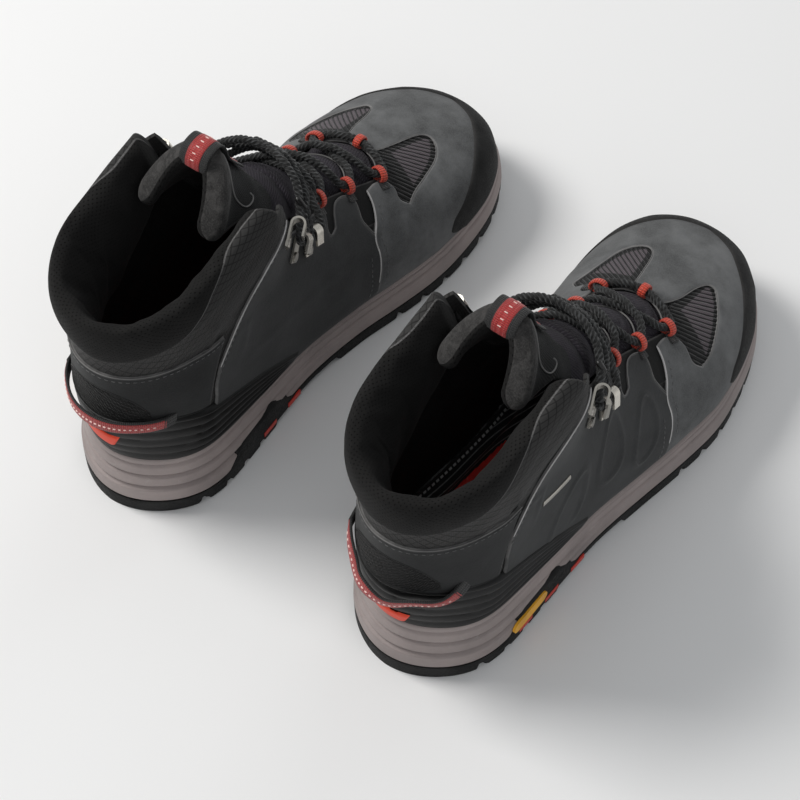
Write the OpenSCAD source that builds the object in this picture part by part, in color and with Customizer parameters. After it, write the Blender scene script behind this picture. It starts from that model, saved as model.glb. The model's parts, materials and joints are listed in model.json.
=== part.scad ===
// A pair of mid-height hiking boots, toes towards -Y, standing on the ground plane z = 0.
// Every layer of the upper is an offset skin of one foot-shaped surface, foot(u, v, d).
// u runs from the toe (0) to the collar (16), v from the front centre line (0) round the
// outer side to the sole or heel centre line (1), and on to 2 along the inner side.
// d is the distance outwards from the textile shell's outer face.

/* [Foot] */
// Length of the foot form inside the sole edge
foot_length = 298; // [282:2:316]
// Height of the collar's front corners
collar_height = 178; // [170:1:188]
// Width of the foot form across the ball
ball_width = 99; // [94:1:106]

/* [Pair] */
// Distance between the centre lines of the two boots
boot_spacing = 171; // [160:1:240]
// How far the left boot stands back towards its heel
left_setback = 10.6; // [0:0.2:30]
// Turn of the left boot's toe outwards
left_turn = 1.9; // [0:0.1:6]

/* [Sole] */
// Depth of the tread grooves
lug_depth = 5; // [3:0.5:6]
// Thickness of the rubber above the tread
tread_base = 4; // [3:0.5:5]
// Rise of the sole at the toe tip
toe_spring = 16; // [12:1:18]
// How far the sole stands out past the foot form at the heel
heel_flare = 6.6; // [4:0.2:8]
// How far the sole stands out past the foot form at the ball
ball_flare = 4.3; // [3:0.1:6]

/* [Layers] */
// Thickness of the textile shell
shell_t = 1.6; // [1.2:0.1:2]
// Thickness of the lining and its foam
lining_t = 1.5; // [1:0.1:2]
// Thickness of the leather overlays
overlay_t = 1.6; // [1.2:0.1:2]
// Free space between neighbouring layers
layer_gap = 0.6; // [0.5:0.05:0.8]

/* [Lacing] */
// Radius of the round lace
lace_r = 2.1; // [1.6:0.1:2.2]
// Radius of the wire in a lace loop
loop_wire_r = 1; // [0.8:0.1:1.2]
// Width of a lace hook
hook_w = 7; // [6:0.5:8]

/* [Part choice] */
// Sub-part to build, or all of them

/* [Hidden] */
$fn = 32;
RIGHT = -1;
LEFT = 1;
kx = foot_length / 298;
ky = ball_width / 99;
kz = collar_height / 178;

// Centre-plane sections of the foot form, from toe to collar. Each fans from a point on the
// instep or shin line to one on the sole or heel line: x and z of both, then how far the
// rounding reaches from each end and how full it is.
SECTIONS = [
  [298, 34, 298, 30, 0.50, 2.0, 0.50, 2.0],
  [295, 45, 294, 25, 0.60, 2.3, 0.35, 2.3],
  [285, 55, 284, 22, 0.65, 2.4, 0.30, 2.4],
  [268, 63, 267, 20, 0.68, 2.4, 0.28, 2.5],
  [245, 69, 243, 18, 0.70, 2.3, 0.27, 2.5],
  [221, 76, 215, 17, 0.72, 2.2, 0.26, 2.5],
  [199, 86, 184, 18, 0.75, 2.1, 0.25, 2.5],
  [178, 98, 148, 20, 0.72, 2.1, 0.22, 2.5],
  [160, 110, 104, 22, 0.60, 2.1, 0.20, 2.5],
  [146, 122, 58, 22, 0.45, 2.1, 0.18, 2.4],
  [136, 134, 17, 27, 0.38, 2.1, 0.22, 2.1],
  [129, 145, 5, 48, 0.34, 2.1, 0.30, 2.0],
  [124, 154, 1, 74, 0.30, 2.1, 0.36, 2.0],
  [120, 162, 2, 98, 0.26, 2.1, 0.40, 2.0],
  [116, 170, 1, 120, 0.22, 2.1, 0.42, 2.0],
  [112, 178, -4, 141, 0.18, 2.1, 0.42, 2.0],
  [108, 186, -8, 162, 0.17, 2.1, 0.42, 2.0]
];
// Half widths of the foot form along its length: x, outer side, inner side, centre shift
PLAN = [
  [0, 30, 30, 0], [8, 34, 34, 0], [20, 36, 36, 0], [40, 37, 37, 0], [80, 38, 36, 0],
  [120, 40, 36, 0], [160, 45, 41, 0], [190, 49, 46, -1], [215, 51, 49, -2],
  [240, 49, 48, -4], [262, 44, 44, -6], [280, 34, 35, -8], [292, 22, 22, -9], [298, 6, 6, -9]
];
ankle_half = 36 * ky;
shaft_half = 42 * ky;
stations = [for (s = SECTIONS) [s[0]*kx, s[1]*kz, s[2]*kx, s[3]*kz, s[4], s[5], s[6], s[7]]];
plan = [for (p = PLAN) [p[0]*kx, p[1]*ky, p[2]*ky, p[3]*ky]];
// Inner and outer face of the overlays, as d
over0 = layer_gap + 0.2;
over1 = over0 + overlay_t;
// Thickness of the heel loop's webbing, and half its width as u
loop_web = 2;
loop_half_u = 0.19;
plan_index = [for (i = [0:len(plan)-1]) [plan[i][0], i]];

// ---- Curves and the foot surface ----

function clamp01(a) = max(0, min(1, a));
function smooth(a, b, x) = let (t = clamp01((x - a) / (b - a))) t * t * (3 - 2 * t);
function sum(list) = list * [for (item = list) 1];

// Smooth curve through the rows of a table, at position u counted in rows
function spline(rows, u) =
  let (
    n = len(rows),
    c = min(max(u, 0), n - 1.000001),
    i = floor(c),
    f = c - i,
    p0 = rows[max(i - 1, 0)],
    p1 = rows[i],
    p2 = rows[min(i + 1, n - 1)],
    p3 = rows[min(i + 2, n - 1)]
  ) 0.5 * (2*p1 + (p2 - p0)*f + (2*p0 - 5*p1 + 4*p2 - p3)*f*f + (3*p1 - p0 - 3*p2 + p3)*f*f*f);

// n + 1 points spread evenly along a curve through a few control points
function along(rows, n) = [for (i = [0:n]) spline(rows, (len(rows) - 1) * i / n)];

function foot(u, v, d = 0) =
  let (
    s = spline(stations, u),
    side = v > 1 ? v - 2 : v,
    tip = pow(clamp01(1 - u / 3.5), 1.3),
    inward = d * sqrt(1 - tip * tip),
    t = (1 - cos(180 * abs(side))) / 2,
    run = norm([s[2] - s[0], s[3] - s[1]]),
    ax = (s[2] - s[0]) / run,
    az = (s[3] - s[1]) / run,
    span = run + 2 * inward,
    x0 = s[0] + ax * (span * t - inward),
    z = s[1] + az * (span * t - inward),
    a = max(0.03, (s[4] * run + inward) / span),
    b = max(0.03, (s[6] * run + inward) / span),
    crown = pow(1 - pow(clamp01(1 - t / a), s[5]), 1 / s[5]),
    keel = pow(1 - pow(clamp01(1 - (1 - t) / b), s[7]), 1 / s[7]),
    row = spline(plan, lookup(x0, plan_index)),
    low = 1 - smooth(50 * kz, 110 * kz, z),
    high = smooth(105 * kz, 150 * kz, z),
    half = (side >= 0 ? row[1] : row[2]) * low
      + (ankle_half * (1 - high) + shaft_half * high) * (1 - low) + inward
  ) [x0 + d * tip, row[3] * low + (side >= 0 ? 1 : -1) * half * crown * keel, z];

// Surface position [u, v] of a point given in the side view
function find_u(p, lo = 0, hi = 16, n = 20) =
  let (m = (lo + hi) / 2, s = spline(stations, m))
  n == 0 ? m
  : (p.x - s[0]) * (s[3] - s[1]) > (p.y - s[1]) * (s[2] - s[0]) ? find_u(p, m, hi, n - 1)
  : find_u(p, lo, m, n - 1);
function on_side(q) =
  let (
    p = [q.x * kx, q.y * kz],
    u = find_u(p),
    s = spline(stations, u),
    way = [s[2] - s[0], s[3] - s[1]],
    t = clamp01((p - [s[0], s[1]]) * way / (way * way))
  ) [u, acos(1 - 2 * t) / 180];
function side_line(points, n) = [for (p = along(points, n)) on_side(p)];
// The same line carried round the heel, or round the toe, to the inner side
function carried(line, middle, turn) =
  let (n = len(line)) concat(
    [for (i = [0:n - 2]) line[i]],
    [[line[n - 1][0], middle]],
    [for (i = [n - 2:-1:0]) [line[i][0], turn - line[i][1]]]
  );
function round_heel(line) = carried(line, 1, 2);
function round_toe(line) = carried(line, 0, 0);

// ---- Solids ----

// Closed solid through a stack of loops with equal point counts. The end caps are strips
// between point j and its opposite, so each loop is a there-and-back outline.
module loft(loops) {
  m = len(loops[0]);
  n = len(loops);
  points = [for (loop = loops) each loop];
  sides = [
    for (i = [0:n - 2], j = [0:m - 1])
      let (k = (j + 1) % m)
      each [[i*m + j, i*m + k, (i+1)*m + k], [i*m + j, (i+1)*m + k, (i+1)*m + j]]
  ];
  first = [
    for (j = [0:m/2 - 2])
      each [[j + 1, j, m - 1 - j], [j + 1, m - 1 - j, m - 2 - j]]
  ];
  last = [for (f = first) [f[0], f[2], f[1]] + [1, 1, 1] * (n - 1) * m];
  faces = concat(sides, first, last);
  volume = sum([for (f = faces) points[f[0]] * cross(points[f[1]], points[f[2]])]);
  polyhedron(points, volume > 0 ? [for (f = faces) [f[0], f[2], f[1]]] : faces, convexity = 8);
}

// Skin between offsets d0 and d1 over a grid of [u, v] rows
module skin(grid, d0, d1, side = 1) {
  loft([
    for (row = grid)
      concat(
        [for (p = row) foot(p[0], side * p[1], d1)],
        [for (j = [len(row) - 1:-1:0]) foot(row[j][0], side * row[j][1], d0)]
      )
  ]);
}

// Grid filling the strip between two boundary lines, in m steps across
function between(low, high, m) = [
  for (i = [0:len(low) - 1]) [for (j = [0:m]) low[i] + (high[i] - low[i]) * j / m]
];

// Square patch of the surface
function patch(u0, u1, n, v0, v1, m) = [
  for (i = [0:n]) [for (j = [0:m]) [u0 + (u1 - u0) * i / n, v0 + (v1 - v0) * j / m]]
];

// Round tube along a list of points
module tube(path, r, sides = 6) {
  n = len(path);
  loft([
    for (i = [0:n - 1])
      let (
        way = path[min(i + 1, n - 1)] - path[max(i - 1, 0)],
        dir = way / norm(way),
        flat = cross(dir, [0.3, 0.2, 1]),
        a = flat / norm(flat),
        b = cross(dir, a)
      ) [for (k = [0:sides - 1]) path[i] + r * (a * cos(k * 360 / sides) + b * sin(k * 360 / sides))]
  ]);
}

// Directions on the surface: towards the collar, and outwards
function collarwards(u, v, d) = let (w = foot(u + 0.05, v, d) - foot(u - 0.05, v, d)) w / norm(w);
function outwards(u, v, d) =
  let (w = cross(foot(u, v + 0.005, d) - foot(u, v - 0.005, d), collarwards(u, v, d))) w / norm(w);
// Places a child on the surface: +Z outwards, +X towards the collar
module on_foot(u, v, d = 0) {
  p = foot(u, v, d);
  ez = outwards(u, v, d);
  ex = collarwards(u, v, d);
  ey = cross(ez, ex);
  multmatrix([
    [ex.x, ey.x, ez.x, p.x],
    [ex.y, ey.y, ez.y, p.y],
    [ex.z, ey.z, ez.z, p.z],
    [0, 0, 0, 1]
  ]) children();
}

// Carries one boot from its own frame (heel at x = 0, toe +X, outer side +Y) into the pair,
// whose origin is the middle of the pair's footprint
function turn_of(side) = side == LEFT ? left_turn : 0;
function heel_of(side) = [side * boot_spacing / 2, side == LEFT ? left_setback : 0];
module boot(side) {
  translate([heel_of(side).x - pair_middle.x, heel_of(side).y - pair_middle.y, 0])
    mirror([side == LEFT ? 0 : 1, 0, 0])
      rotate([0, 0, turn_of(side) - 90])
        children();
}

// ---- Sole ----

// Height of the ground side, and of the midsole's top edge, along the length
function ground(x) = x < 215 ? 0 : toe_spring * pow((x - 215) / 88, 1.7);
function rubber_top(x) = ground(x) + lug_depth + tread_base;
function sole_edge(x) = lookup(x / kx, [
  [-10, 43], [10, 43], [55, 41], [85, 37], [120, 32], [160, 29], [215, 29], [250, 31],
  [275, 34], [290, 38], [310, 40]
]);
function sole_flare(x) = lookup(x / kx, [
  [0, heel_flare], [60, heel_flare - 1], [110, 3], [150, 2.4], [200, ball_flare],
  [250, ball_flare], [285, ball_flare + 1], [300, ball_flare + 2]
]);
// Plan outline of the foot form near the sole edge, from the toe round the outer side, with
// the unit normal of each point
ring_heights = [[0, 32], [1, 35], [3, 36], [6, 34], [8, 38], [9, 44], [10.8, 44]];
ring_u = concat([for (u = [0:0.5:8]) u], [8.6, 9.2, 9.7, 10.05, 10.35, 10.6, 10.75, 10.84]);
function ring_point(u) =
  let (s = spline(stations, u), z = lookup(u, ring_heights) * kz,
       t = clamp01((z - s[1]) / (s[3] - s[1])), v = acos(1 - 2 * t) / 180) [u, v];
half_ring = [for (u = ring_u) ring_point(u)];
ring_pts = concat(
  [for (q = half_ring) foot(q[0], q[1])],
  [for (i = [len(half_ring) - 1:-1:0]) foot(half_ring[i][0], -half_ring[i][1])]
);
ring_n = len(ring_pts);
ring_out = [
  for (i = [0:ring_n - 1])
    let (w = ring_pts[(i + 1) % ring_n] - ring_pts[(i + ring_n - 1) % ring_n])
    [-w.y, w.x] / norm([w.x, w.y]) * -1
];
// Ring moved outwards by extra(x) on top of the flare share k
function ring_at(i, k, extra) =
  let (p = ring_pts[i], o = k * sole_flare(p.x) + extra) [p.x + ring_out[i].x * o, p.y + ring_out[i].y * o];

// Middle of the pair's footprint, from the sole outlines and the heel loops
function in_pair(p, side) =
  let (c = cos(turn_of(side)), s = sin(turn_of(side)))
  heel_of(side) + [side * (p.x * s + p.y * c), p.y * s - p.x * c];
footprint = [
  for (side = [RIGHT, LEFT])
    each concat(
      [for (i = [0:ring_n - 1]) in_pair(ring_at(i, 1, 0), side)],
      [for (k = [-1, 1]) in_pair(loop_point(0, k * loop_half_u, loop_web), side)]
    )
];
reach_x = [for (p = footprint) p.x];
reach_y = [for (p = footprint) p.y];
pair_middle = [(min(reach_x) + max(reach_x)) / 2, (min(reach_y) + max(reach_y)) / 2];

module sole_plan(k, extra) {
  polygon([for (i = [0:ring_n - 1]) ring_at(i, k, extra)]);
}
// Slab of the side view between two height curves
module side_band(low, high) {
  xs = concat([-20, 0, 100, 215], [for (i = [1:10]) 215 + i * 9.5]);
  translate([0, 80, 0])
    rotate([90, 0, 0])
      linear_extrude(160)
        polygon(concat([for (x = xs) [x, ground(x) + low]],
                       [for (i = [len(xs) - 1:-1:0]) [xs[i], ground(xs[i]) + high]]));
}
// Cuts that leave the lugs: cross grooves, a waist with no lugs and a centre channel
module tread_cuts() {
  groove = 4.2;
  depth = lug_depth + toe_spring + 20;
  for (x = [16, 31, 46, 61, 168, 184, 200, 216, 232, 248, 264, 280])
    for (side = [-1, 1])
      translate([x, side * 9, -10])
        rotate([0, 0, side * 68])
          translate([0, -groove / 2, 0])
            cube([60, groove, depth]);
  translate([88, -70, -10]) cube([52, 140, depth]);
  for (x = [24, 39, 54, 69, 160, 176, 192, 208, 224, 240, 256, 272])
    translate([x - 3, -9, -10]) cube([6.5, 18, depth]);
}
module outsole(side) {
  color("#1c1c1d") boot(side) {
    intersection() {
      translate([0, 0, -1]) linear_extrude(60) sole_plan(1, 0);
      side_band(lug_depth, lug_depth + tread_base);
    }
    difference() {
      intersection() {
        translate([0, 0, -1]) linear_extrude(60) sole_plan(1, 0);
        side_band(0, lug_depth);
      }
      tread_cuts();
    }
  }
}
// Red plugs set against the edge of the rubber at the waist
module outsole_inserts(side) {
  color("#b8352a") boot(side)
    for (i = [16, 17, 18, ring_n - 19, ring_n - 18])
      translate([0, 0, lug_depth + 0.4])
        linear_extrude(tread_base - 0.8)
          polygon([for (q = [[i, 0.05], [i + 1, 0.05], [i + 1, 0.9], [i, 0.9]])
            let (a = ring_at(i, 1, q[1]), b = ring_at(i + 1, 1, q[1]))
            q[0] == i ? a * 0.75 + b * 0.25 : a * 0.25 + b * 0.75]);
}
// Oblong badge on the outer side of the midsole, ahead of the heel
module sole_badge(side) {
  color("#e0a92e") boot(side)
    translate([61 * kx, ring_pts[18].y + 0.4 + sole_flare(60), 14.5])
      rotate([90, 0, -1.5])
        linear_extrude(1.4, center = true)
          hull() for (x = [-10.5, 10.5]) translate([x, 0]) circle(3.6);
}
module midsole(side) {
  gap = 0.3;
  levels = [
    for (row = [[0, 1, -0.8], [0.3, 0.95, 0], [0.62, 0.72, -0.6], [0.86, 0.62, 0], [1, 0.45, 0]])
      [for (i = [0:ring_n - 1])
        let (p = ring_at(i, row[1], row[2]), x = ring_pts[i].x, base = rubber_top(p.x) + gap)
        [p.x, p.y, base + (sole_edge(x) - base) * row[0]]]
  ];
  inner = [
    for (row = [[0.9, 99], [0.5, 12], [-7, 0]])
      [for (i = [0:ring_n - 1])
        let (
          p = ring_at(i, 0, row[0]),
          q = half_ring[min(i, ring_n - 1 - i)],
          u = q[0] + 1.3 * (1 - smooth(2, 5, q[0])),
          floor_z = spline(stations, min(u, 9.4))[3] - 3,
          rise = row[1] * (row[1] > 50 ? 1 : 1 - 0.75 * smooth(255, 284, p.x))
        )
        [p.x, p.y, min(max(floor_z, rubber_top(p.x) + gap + 0.7) + rise,
                     sole_edge(ring_pts[i].x) - (row[1] > 50 ? 0.8 : 2))]]
  ];
  color("#8b8180") boot(side) loft(concat(levels, inner));
}
// Stiffener under the arch, between the upper's bottom and the midsole
module shank(side) {
  color("#6f7478") boot(side) skin(patch(6.6, 9.1, 8, 0.93, 1.07, 2), 0.9, 1.9);
}
// ---- Upper ----

// Half width of the throat, as v
throat_table = [[0, 0.003], [5.15, 0.003], [5.7, 0.19], [8.5, 0.19], [10, 0.215], [16, 0.225]];
function throat(u) = lookup(u, throat_table);
shell_rows = [
  0.05, 0.6, 1.2, 2, 3, 4.2, 5.15, 5.7, 6.6, 7.6, 8.6, 9.4, 10, 10.5, 11, 11.6, 12.4, 13.3, 14.1
];
function wrap(rows, m, extra, power) = [
  for (u = rows)
    let (e = throat(u) + (throat(u) > 0.01 ? extra : 0))
    [for (j = [0:m]) [u, e + (2 - 2 * e) * j / m]]
];
module upper_shell(side) {
  color("#3f4144") boot(side) skin(wrap(shell_rows, 28, 0), -shell_t, 0);
}
lining_out = -shell_t - 2 * layer_gap - 1.1;
lining_rows = [for (i = [2:16]) shell_rows[i]];
module lining(side) {
  color("#1b1b1d") boot(side)
    skin(wrap(lining_rows, 28, 0.03), lining_out - lining_t, lining_out);
}
// Lasting board, on the same facets as the shell it closes
module insole_board(side) {
  grid = wrap([for (i = [2:11]) shell_rows[i]], 28, 0);
  color("#b9ab90") boot(side)
    skin([for (row = grid) [for (j = [12:16]) row[j]]],
         -shell_t - layer_gap - 1.05, -shell_t - layer_gap - 0.05);
}
module toe_puff(side) {
  color("#c9bfa8") boot(side)
    skin([for (u = [1.2, 2, 3, 4.2]) [for (j = [-8:8]) [u, (0.003 + abs(j) * 1.994 / 28) * sign(j)]]],
         -shell_t - layer_gap - 0.9, -shell_t - layer_gap);
}
module heel_counter(side) {
  color("#c9bfa8") boot(side)
    skin(patch(10.6, 12.6, 5, 0.6, 1.4, 12), -shell_t - layer_gap - 0.9, -shell_t - layer_gap);
}
// Padded collar: a cross-section in u and d swept round the opening
pad_section = [
  [12.85, -3.4], [14.32, -2.9], [14.38, 0.4], [14.6, 1.8], [15.0, 1.4], [15.35, -0.8],
  [15.45, -4], [15.2, -8], [14.6, -10.6], [13.8, -11], [13.1, -9.4], [12.75, -6]
];
module collar_pad(side) {
  n = 30;
  color("#161618") boot(side)
    loft([
      for (i = [0:n])
        let (v = 0.245 + 1.51 * i / n)
        [for (p = pad_section) foot(p[0], v, p[1])]
    ]);
}
rand_low = [[205, 34], [235, 34.5], [262, 36.5], [284, 39.5], [297, 40]];
rand_high = [[206, 42], [228, 50], [256, 50], [275, 50.5], [288, 52.6]];
module toe_rand(side) {
  n = 14;
  color("#232425") boot(side)
    skin(between(round_toe(side_line(rand_low, n)), round_toe(side_line(rand_high, n)), 4),
         over0 + 0.3, over1 + 0.3);
}
// Rear edge of the vamp by v: a tip at the throat, a notch for each vent, then the side seam
function vamp_rear(v) = lookup(abs(v), [
  [0, 5.0], [0.07, 4.75], [0.1, 4.1], [0.14, 3.75], [0.28, 3.9], [0.33, 4.6], [0.37, 5.6],
  [0.41, 6.15], [0.6, 6.2]
]);
function vamp_front(v) = lookup(abs(v), [
  [0, 2.25], [0.2, 2.6], [0.32, 3.1], [0.36, 3.7], [0.4, 4.5], [0.44, 5.1], [0.5, 5.6], [0.57, 5.95]
]);
module vamp(side) {
  cols = [-0.57, -0.5, -0.44, -0.4, -0.36, -0.32, -0.27, -0.2, -0.14, -0.1, -0.05];
  all_cols = concat(cols, [0], [for (i = [len(cols) - 1:-1:0]) -cols[i]]);
  color("#58595b") boot(side)
    skin([for (v = all_cols) let (a = vamp_front(v), b = vamp_rear(v))
      [for (j = [0:5]) [a + (b - a) * j / 5, v]]], over0, over1);
}
module vent_mesh(side) {
  color("#4b474a") boot(side)
    for (s = [-1, 1])
      skin([for (v = [0.13, 0.18, 0.24, 0.3])
             [for (j = [0:3]) [4.15 + (v > 0.28 ? 0.35 : 0) + 0.95 * j / 3, v]]],
           over0 - 0.3, over0 + 0.5, s);
}
quarter_low = [[170, 33], [150, 33], [130, 37], [112, 47]];
quarter_high = [[182, 72], [160, 82], [133, 93], [106, 104]];
module quarter(s) {
  skin(between(side_line(quarter_low, 9), side_line(quarter_high, 9), 6), over0, over1, s);
}
module quarter_lateral(side) {
  color("#505255") boot(side) quarter(1);
}
module quarter_medial(side) {
  color("#505255") boot(side) quarter(-1);
}
// Reinforcement along both throat edges, under the loops and hooks
module eyestay(side) {
  rows = [for (i = [0:12]) 5.75 + i * 0.58];
  color("#2a2b2d") boot(side)
    for (s = [-1, 1])
      skin([for (u = rows) [for (j = [0:1]) [u, throat(u) + 0.045 + j * (u < 9.3 ? 0.06 : 0.075)]]],
           over0, over1, s);
}
cradle_low = [[106, 38], [80, 41], [45, 46], [18, 47.5], [5.2, 48]];
cradle_high = [[108, 43], [80, 54], [45, 68], [16, 80], [1.5, 83]];
module heel_cradle(side) {
  n = 14;
  color("#141415") boot(side)
    skin(between(round_heel(side_line(cradle_low, n)), round_heel(side_line(cradle_high, n)), 5),
         over0 + 0.15, over0 + 2.7);
}
module heel_emblem(side) {
  color("#c9432f") boot(side)
    skin(patch(11.35, 11.85, 2, 0.9, 1.1, 4), over0 + 3, over0 + 4);
}
overlay_low = [[103, 52], [76, 60], [45, 74], [16, 86], [2, 89]];
overlay_high = [[98, 112], [76, 104], [45, 102], [16, 108], [2, 112]];
module heel_overlay(side) {
  n = 14;
  color("#38393b") boot(side)
    skin(between(round_heel(side_line(overlay_low, n)), round_heel(side_line(overlay_high, n)), 6),
         over0 + 0.5, over1 + 0.5);
}

// ---- Tongue ----

module tongue_lower(side) {
  rows = [for (i = [0:12]) 5.75 + i * 0.44];
  color("#3a383d") boot(side)
    skin([for (u = rows) [for (j = [0:6]) [u, 0.175 * (j / 3 - 1)]]],
         -shell_t - layer_gap - 4, -shell_t - layer_gap);
}
// Padded top of the tongue: a U-shaped sheet, leaning back, with its wings cut lower
tongue_front = [[120.5, 146.5], [114, 158], [106, 169], [99, 179], [96, 187]];
cuff_half = 24.5;
function cuff_point(s, a, inset) =
  let (
    p = spline(tongue_front, s * 4),
    arc = 78 * a,
    r = cuff_half / sin(78) - inset,
    drop = 26 * pow(abs(a), 2) * smooth(0.2, 1, s)
  ) [
    (p.x - cuff_half / sin(78) + r * cos(arc) - drop * 0.35 + 2) * kx,
    r * sin(arc) * ky,
    (p.y - drop) * kz
  ];
module tongue_cuff(side) {
  m = 8;
  color("#2f3033") boot(side)
    loft([
      for (i = [0:6])
        let (s = i / 6)
        concat(
          [for (j = [0:m]) cuff_point(s, j / m * 2 - 1, 0)],
          [for (j = [m:-1:0]) cuff_point(s, j / m * 2 - 1, i == 6 ? 6.5 : 8)]
        )
    ]);
}
// Webbing tab that folds over the tongue's top edge
module tongue_tab(side) {
  tab_half = 7;
  t = 1.4;
  outer = [[0.55, 1], [0.8, 1], [0.985, 1]];
  color("#b8352a") boot(side)
    loft([
      for (y = [-tab_half, tab_half])
        let (
          front = [for (q = outer) let (p = cuff_point(q[0], 0, 0)) [p.x + 0.8, y, p.z]],
          top = cuff_point(1, 0, 3.2),
          out = concat(
            [for (p = front) [p.x + t, p.y, p.z]],
            [[top.x + 3.4, y, top.z + 0.9 + t], [top.x - 4.8, y, top.z + 0.9 + t]],
            [[top.x - 6.4 - t, y, top.z], [top.x - 6 - t, y, top.z - 8]]
          ),
          in = concat(
            front,
            [[top.x + 2.6, y, top.z + 0.9], [top.x - 4.4, y, top.z + 0.9]],
            [[top.x - 6.4, y, top.z - 0.4], [top.x - 6, y, top.z - 8]]
          )
        )
        concat(out, [for (k = [len(in) - 1:-1:0]) in[k]])
    ]);
}

// ---- Lacing ----

loop_us = [5.75, 6.85, 8.2];
loop_v = 0.16;
loop_d = 3.3;
hooks = [[9.15, 0.285], [10.0, 0.285], [12.1, 0.275]];
lace_low = 1.2;
lace_over = lace_low + 2 * lace_r + 1;
module lace_loop(u, v, d) {
  ring = lace_r + 0.5 + loop_wire_r;
  on_foot(u, v, d)
    rotate([0, 90, 0])
      rotate_extrude()
        translate([ring, 0]) circle(loop_wire_r);
}
module lace_loops(side) {
  color("#c4412f") boot(side) {
    for (u = loop_us, s = [-1, 1]) lace_loop(u, s * loop_v, loop_d);
    on_foot(5.3, 0, 4.6)
      rotate([0, 90, 90])
        rotate_extrude()
          translate([lace_r + 1.5, 0]) circle(loop_wire_r);
  }
}
// Open hook: a plate, bent up and back over the lace
module hook_shape() {
  t = 1.1;
  rotate([90, 0, 0])
    linear_extrude(hook_w, center = true)
      union() {
        translate([-6, 0]) square([12.5, t]);
        translate([6.5, 3.9]) difference() {
          circle(3.9);
          circle(3.9 - t);
          translate([-8, -8]) square([8, 16]);
        }
        translate([0.5, 7.8 - t]) square([6.2, t]);
      }
}
module each_hook() {
  for (h = hooks, s = [-1, 1])
    on_foot(h[0], s * h[1], over1 + 0.6)
      rotate([0, 0, s * 90])
        children();
}
rivet_r = 1.5;
module lace_hooks(side) {
  color("#b9b7b0") boot(side)
    each_hook()
      difference() {
        hook_shape();
        translate([-3, 0, -1]) cylinder(h = 4, r = rivet_r + 0.05);
      }
}
module hook_rivets(side) {
  color("#8f8d88") boot(side)
    each_hook()
      translate([-3, 0, 0]) {
        translate([0, 0, -0.5]) cylinder(h = 1.9, r = rivet_r);
        translate([0, 0, 1.2]) cylinder(h = 0.8, r = 2.6);
      }
}
// Path of the lace from one loop or hook to the other side, over or under its twin
function pass(u, s) = [foot(u - 0.22, s * loop_v, loop_d), foot(u + 0.22, s * loop_v, loop_d)];
function crossing(u0, u1, s, d) = [
  foot(u0 * 0.75 + u1 * 0.25, s * 0.1, (d + loop_d) / 2 + 0.6),
  foot((u0 + u1) / 2, 0, d),
  foot(u0 * 0.25 + u1 * 0.75, -s * 0.1, (d + loop_d) / 2 + 0.6)
];
// The lace's way through a hook: how far along the throat, into the hook and above its plate
function catch(h, s) =
  let (
    base = foot(h[0], s * h[1], over1 + 0.6),
    ez = outwards(h[0], s * h[1], over1 + 0.6),
    ex = collarwards(h[0], s * h[1], over1 + 0.6),
    ey = s * cross(ez, ex)
  )
  [for (q = [[-8.5, 8.5, 4.2], [-4.4, 6, 3.9], [4.4, 6, 3.9], [8.5, 8.5, 4.2]])
    base + q[0] * ex + q[1] * ey + q[2] * ez];
function half_lace(s) =
  let (d0 = s > 0 ? lace_low : lace_over, d1 = s > 0 ? lace_over : lace_low)
  concat(
    [foot(5.4, s * 0.09, 4.4)],
    pass(loop_us[0], s),
    crossing(loop_us[0], loop_us[1], s, d0),
    pass(loop_us[1], -s),
    crossing(loop_us[1], loop_us[2], -s, d0),
    pass(loop_us[2], s),
    crossing(loop_us[2] + 0.2, hooks[0][0] - 0.5, s, d0),
    catch(hooks[0], -s)
  );
module lace(side) {
  a = half_lace(1);
  b = half_lace(-1);
  color("#1a1a1b") boot(side)
    tube(concat([for (i = [len(b) - 1:-1:0]) b[i]], [foot(5.3, 0, 4.6)], a), lace_r);
}
module lace_tips(side) {
  color("#1a1a1b") boot(side)
    for (s = [-1, 1])
      on_foot(10.6, s * 0.1, 2) rotate([0, 90, 0]) cylinder(h = 16, r = 1.6);
}

// ---- Heel loop and footbed ----

// Point of the heel loop: s runs from one anchor (-1) over the heel line (0) to the other (1)
function loop_point(s, du, dd) =
  let (bow = 1 - s * s) foot(11.62 + 0.5 * bow + du, 1 + 0.26 * s, over0 + 3.4 + 5.5 * bow + dd);
module heel_loop(side) {
  n = 7;
  color("#b8352a") boot(side)
    loft([
      for (i = [-n:n])
        [for (q = [[-1, 0], [1, 0], [1, 1], [-1, 1]]) loop_point(i / n, q[0] * loop_half_u, q[1] * loop_web)]
    ]);
}
module insole(side) {
  rows = [for (i = [0:14]) 2.46 + i * 0.56];
  color("#26262a") boot(side)
    skin([for (u = rows) [for (j = [0:6]) [u, 0.865 + 0.27 * j / 6]]], -10.9, -7.3);
}

outsole(RIGHT);  // right_outsole
outsole_inserts(RIGHT);  // right_outsole_inserts
sole_badge(RIGHT);  // right_sole_badge
midsole(RIGHT);  // right_midsole
shank(RIGHT);  // right_shank
insole_board(RIGHT);  // right_insole_board
heel_cradle(RIGHT);  // right_heel_cradle
heel_emblem(RIGHT);  // right_heel_emblem
upper_shell(RIGHT);  // right_upper_shell
lining(RIGHT);  // right_lining
collar_pad(RIGHT);  // right_collar_pad
toe_puff(RIGHT);  // right_toe_puff
heel_counter(RIGHT);  // right_heel_counter
toe_rand(RIGHT);  // right_toe_rand
vamp(RIGHT);  // right_vamp
quarter_lateral(RIGHT);  // right_quarter_lateral
quarter_medial(RIGHT);  // right_quarter_medial
vent_mesh(RIGHT);  // right_vent_mesh
eyestay(RIGHT);  // right_eyestay
lace_loops(RIGHT);  // right_lace_loops
lace_hooks(RIGHT);  // right_lace_hooks
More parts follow.
